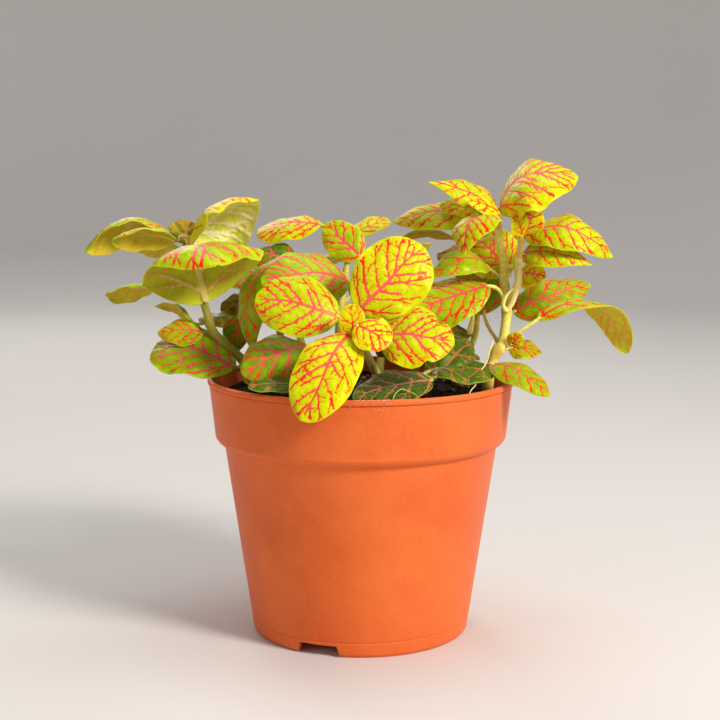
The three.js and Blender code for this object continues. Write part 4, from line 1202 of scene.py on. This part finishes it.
def spline(points, samples):
    """A smooth centripetal curve through the points, blended pair by pair in three levels."""
    points = np.array(points, float)
    points = np.concatenate([[2 * points[0] - points[1]], points, [2 * points[-1] - points[-2]]])
    levels = (((0, 1), (1, 2), (2, 3)), ((0, 2), (1, 3)), ((1, 2),))
    made = []
    spans = len(points) - 3
    for k in range(spans):
        near = points[k : k + 4]
        gaps = np.linalg.norm(np.diff(near, axis=0), axis=1) ** 0.5
        knots = np.concatenate([[0], np.cumsum(gaps)])
        for t in np.linspace(knots[1], knots[2], samples, endpoint=k == spans - 1):
            blend = near
            for level in levels:
                shares = [(t - knots[low]) / (knots[high] - knots[low]) for low, high in level]
                pairs = zip(blend, blend[1:], shares)
                blend = [before * (1 - share) + after * share for before, after, share in pairs]
            made.append(blend[0])
    return np.array(made)


def at_height(path, height):
    """The place where a stem's path first reaches a height."""
    for below, above in zip(path, path[1:]):
        if above[2] >= height:
            share = (height - below[2]) / (above[2] - below[2])
            return np.array(below) + share * (np.array(above) - np.array(below))
    return np.array(path[-1], float)


def petiole_route(leaf, path):
    """A curve that leaves the stem outward and a little up, and runs into the leaf's midrib."""
    base, crest, _, _ = midrib(leaf)
    start = at_height(path, leaf.at)
    heading = unit(crest - base)
    reach = np.linalg.norm(base - start)
    leaving = start + 0.25 * (base - start) + np.array([0, 0, 0.1 * reach])
    arriving = base - 0.4 * reach * heading
    end = base + 1.6 * heading
    s = np.linspace(0, 1, 18)[:, None]
    first_half = (1 - s) ** 3 * start + 3 * s * (1 - s) ** 2 * leaving
    return first_half + 3 * s**2 * (1 - s) * arriving + s**3 * end


def add_stalk(skin, stem):
    """A stem, thicker where leaves sit. Gives back its line and radii."""
    line = spline(stem.path, samples=8)
    share = np.linspace(0, 1, len(line))
    radii = stem.radii[0] + share * (stem.radii[1] - stem.radii[0])
    for leaf in stem.leaves:
        radii = radii + 0.2 * np.exp(-(((line[:, 2] - leaf.at) / 1.6) ** 2))
    points, faces = swept(line, radii, STALK_SIDES)
    height = np.repeat(line[:, 2], STALK_SIDES)
    tint = np.full(len(points), 0.4)
    for leaf in stem.leaves:
        tint += 0.175 * np.exp(-(((height - leaf.at) / 3) ** 2))
    woody = np.clip((BARK_TOP - height) / BARK_FADE, 0, 1)
    skin.add(points, faces, woody=woody, tint=tint, tone=stem.tone)
    return line, radii


def add_petiole(skin, leaf, stem):
    """Gives back the petiole's line and radii, without the end that lies inside the blade."""
    route = petiole_route(leaf, stem.path)
    s = np.linspace(0, 1, len(route))
    radii = (0.7 + 0.35 * (1 - s) ** 4) * (leaf.width / 22) ** 0.4
    points, faces = swept(route, radii, PETIOLE_SIDES)
    tint = np.repeat(0.35 + 0.4 * (1 - s) ** 2, PETIOLE_SIDES)
    woody = np.clip((PETIOLE_BARK_TOP - points[:, 2]) / BARK_FADE, 0, 1) * 0.5
    skin.add(points, faces, woody=woody, tint=tint, tone=stem.tone)
    return route[:-2], radii[:-2]


def add_hair(skin, rng, root, along, radius):
    """One hair, a thin three-sided spike, from the surface round a stem's line."""
    out = rng.normal(size=3)
    out = unit(out - along * (out @ along))
    lean = unit(out + 0.35 * rng.normal(size=3))
    foot = root + out * radius * 0.9
    tip = foot + lean * rng.uniform(*HAIR_LENGTH)
    side = HAIR_WIDTH * unit(np.cross(lean, along))
    other = np.cross(side, lean)
    ring = [foot + side, foot - 0.5 * side + 0.87 * other, foot - 0.5 * side - 0.87 * other]
    skin.add(ring + [tip], [HAIR_FACES], look=1, woody=0, tint=0, tone=0)


def build_stem(name, stems, material, hair_look, seed):
    """The stems of one shoot with their petioles and short soft hairs."""
    rng = np.random.default_rng(seed)
    skin = Skin()
    tufts = []
    for stem in stems:
        tufts.append((*add_stalk(skin, stem), STALK_HAIRS))
        for leaf in stem.leaves:
            tufts.append((*add_petiole(skin, leaf, stem), PETIOLE_HAIRS))
    for line, radii, hairs in tufts:
        for start, stop, radius in zip(line, line[1:], radii):
            if start[2] < HAIR_LOWEST:
                continue
            for _ in range(hairs):
                share = rng.uniform()
                root = start * (1 - share) + stop * share
                add_hair(skin, rng, root, unit(stop - start), radius)
    return skin.piece(name, [material, hair_look])


def build_strands(name, strands, material):
    """Threads or bracts, each a tube along its own path."""
    skin = Skin()
    for strand in strands:
        line = spline(strand.path, samples=6)
        radii = np.interp(np.linspace(0, 1, len(line)), [0, 0.5, 1], strand.radii)
        points, faces = swept(line, radii, STRAND_SIDES)
        skin.add(points, faces, woody=0, tint=0.2, tone=strand.tone)
    return skin.piece(name, [material])


# ---------------------------------------------------------------- stage


def build_stage():
    """A plain pale floor that curves up all round into a soft backdrop."""
    profile = [(0.4, 0), (STAGE_RADIUS, 0)]
    for a in np.linspace(0.1, 1.5, 16):
        bend = (STAGE_RADIUS + STAGE_CURVE * math.sin(a), STAGE_CURVE - STAGE_CURVE * math.cos(a))
        profile.append(bend)
    angle = np.linspace(0, 2 * math.pi, STAGE_SEGMENTS, endpoint=False)
    rings = [[(r * math.cos(a), r * math.sin(a), z) for a in angle] for r, z in profile]
    points = np.concatenate([np.array(rings).reshape(-1, 3), [[0, 0, 0]]])
    j = np.arange(STAGE_SEGMENTS)
    middle = np.full(STAGE_SEGMENTS, len(points) - 1)
    faces = grid_faces(len(rings), STAGE_SEGMENTS, flipped=True, closed=True)
    skin = Skin()
    skin.add(points / MM, [faces, np.stack([middle, j, (j + 1) % STAGE_SEGMENTS], 1)])
    s = Shader("stage_floor")
    color = s.mix(s.noise(s.place(), 3, 2), rgb(0.68, 0.64, 0.60), rgb(0.72, 0.68, 0.64))
    floor = skin.piece("stage_floor", [s.finish(Base_Color=color, Roughness=0.8)])


def area_light(name, place, aim, size, power, color):
    light = bpy.data.lights.new(name, "AREA")
    light.shape = "DISK"
    light.size = size
    light.energy = power
    light.color = color
    lamp = bpy.data.objects.new(name, light)
    lamp.location = place
    lamp.rotation_euler = (Vector(aim) - Vector(place)).to_track_quat("-Z", "Y").to_euler()
    bpy.context.scene.collection.objects.link(lamp)


def build_lights():
    middle = (0, 0, 0.11)
    area_light("key_light", (0.85, -0.75, 0.85), middle, 0.38, 19, (1.0, 0.97, 0.92))
    area_light("fill_light", (-1.0, -0.7, 0.5), middle, 0.8, 1.6, (0.95, 0.97, 1.0))
    area_light("top_light", (0.1, 0.15, 1.2), middle, 0.7, 4, (1.0, 1.0, 0.98))
    area_light("back_light", (-0.4, 1.1, 0.8), middle, 0.7, 4, (1.0, 0.98, 0.94))
    world = bpy.data.worlds.new("studio")
    world.use_nodes = True
    background = world.node_tree.nodes["Background"]
    background.inputs["Color"].default_value = rgb(0.9, 0.92, 1.0)
    background.inputs["Strength"].default_value = 0.3
    bpy.context.scene.world = world


def build_camera():
    camera = bpy.data.cameras.new("photo_camera")
    camera.sensor_width = SENSOR_WIDTH
    camera.lens = SENSOR_WIDTH * FOCAL_PIXELS / FRAME_PIXELS
    camera.clip_start = 0.01
    eye = bpy.data.objects.new("photo_camera", camera)
    eye.location = Vector(CAMERA_PLACE) * MM
    tilt = Matrix.Rotation(math.pi / 2 - CAMERA_TILT, 3, "X")
    roll = Matrix.Rotation(CAMERA_ROLL, 3, "Z")
    eye.rotation_euler = (tilt @ roll).to_euler()
    bpy.context.scene.collection.objects.link(eye)
    bpy.context.scene.camera = eye


# ---------------------------------------------------------------- the whole plant


def keep(piece, slot, *nodes):
    """Hands a piece over: what it rides and the nodes that it stands for, whose parts it hides. The
    slot argument, its material slot, is not used.
    """
    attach(piece, "root")
    if nodes:
        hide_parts(*nodes)


def build_potful():
    """The pot, the soil and what lies loose on them."""
    soil_look = soil_material()
    keep(build_pot(pot_material()), "pot_plastic", "pot")
    keep(build_soil(soil_look), "soil", "soil")
    bark_look = bark_material(
        "bark_bits", rgb(0.03, 0.014, 0.008), rgb(0.12, 0.06, 0.03), rgb(0.26, 0.14, 0.07)
    )
    wood_look = bark_material(
        "wood_bits", rgb(0.16, 0.08, 0.03), rgb(0.46, 0.27, 0.12), rgb(0.72, 0.50, 0.26)
    )
    keep(build_crumbs(soil_look, bark_look, wood_look), "soil")
    dark_leaf = next(stem for stem in STEMS if stem.node == "shoot_low_front").leaves[0]
    keep(build_specks(dark_leaf, white_speck_material()), "soil")


def build_shoots():
    """Each shoot's stem and leaves, then the threads and bracts."""
    blade_looks = [leaf_upper_material(), leaf_under_material()]
    stem_look = stem_material()
    hair_look = hair_material()
    for order, node in enumerate(dict.fromkeys(stem.node for stem in STEMS)):
        stems = [stem for stem in STEMS if stem.node == node]
        stalk = build_stem(f"{node}_stem", stems, stem_look, hair_look, 500 + order)
        keep(stalk, "stem", node)
        leaves = [leaf for stem in stems for leaf in stem.leaves]
        for index, leaf in enumerate(leaves):
            name = f"{node}_leaf_{index + 1}"
            keep(build_leaf(name, leaf, 100 * order + index, blade_looks), "leaf", node)
    for name, strands in STRANDS.items():
        keep(build_strands(name, strands, stem_look), "stem")


def main():
    bpy.context.scene.view_settings.view_transform = "Standard"
    build_camera()
    build_stage()
    build_lights()
    build_potful()
    build_shoots()


main()
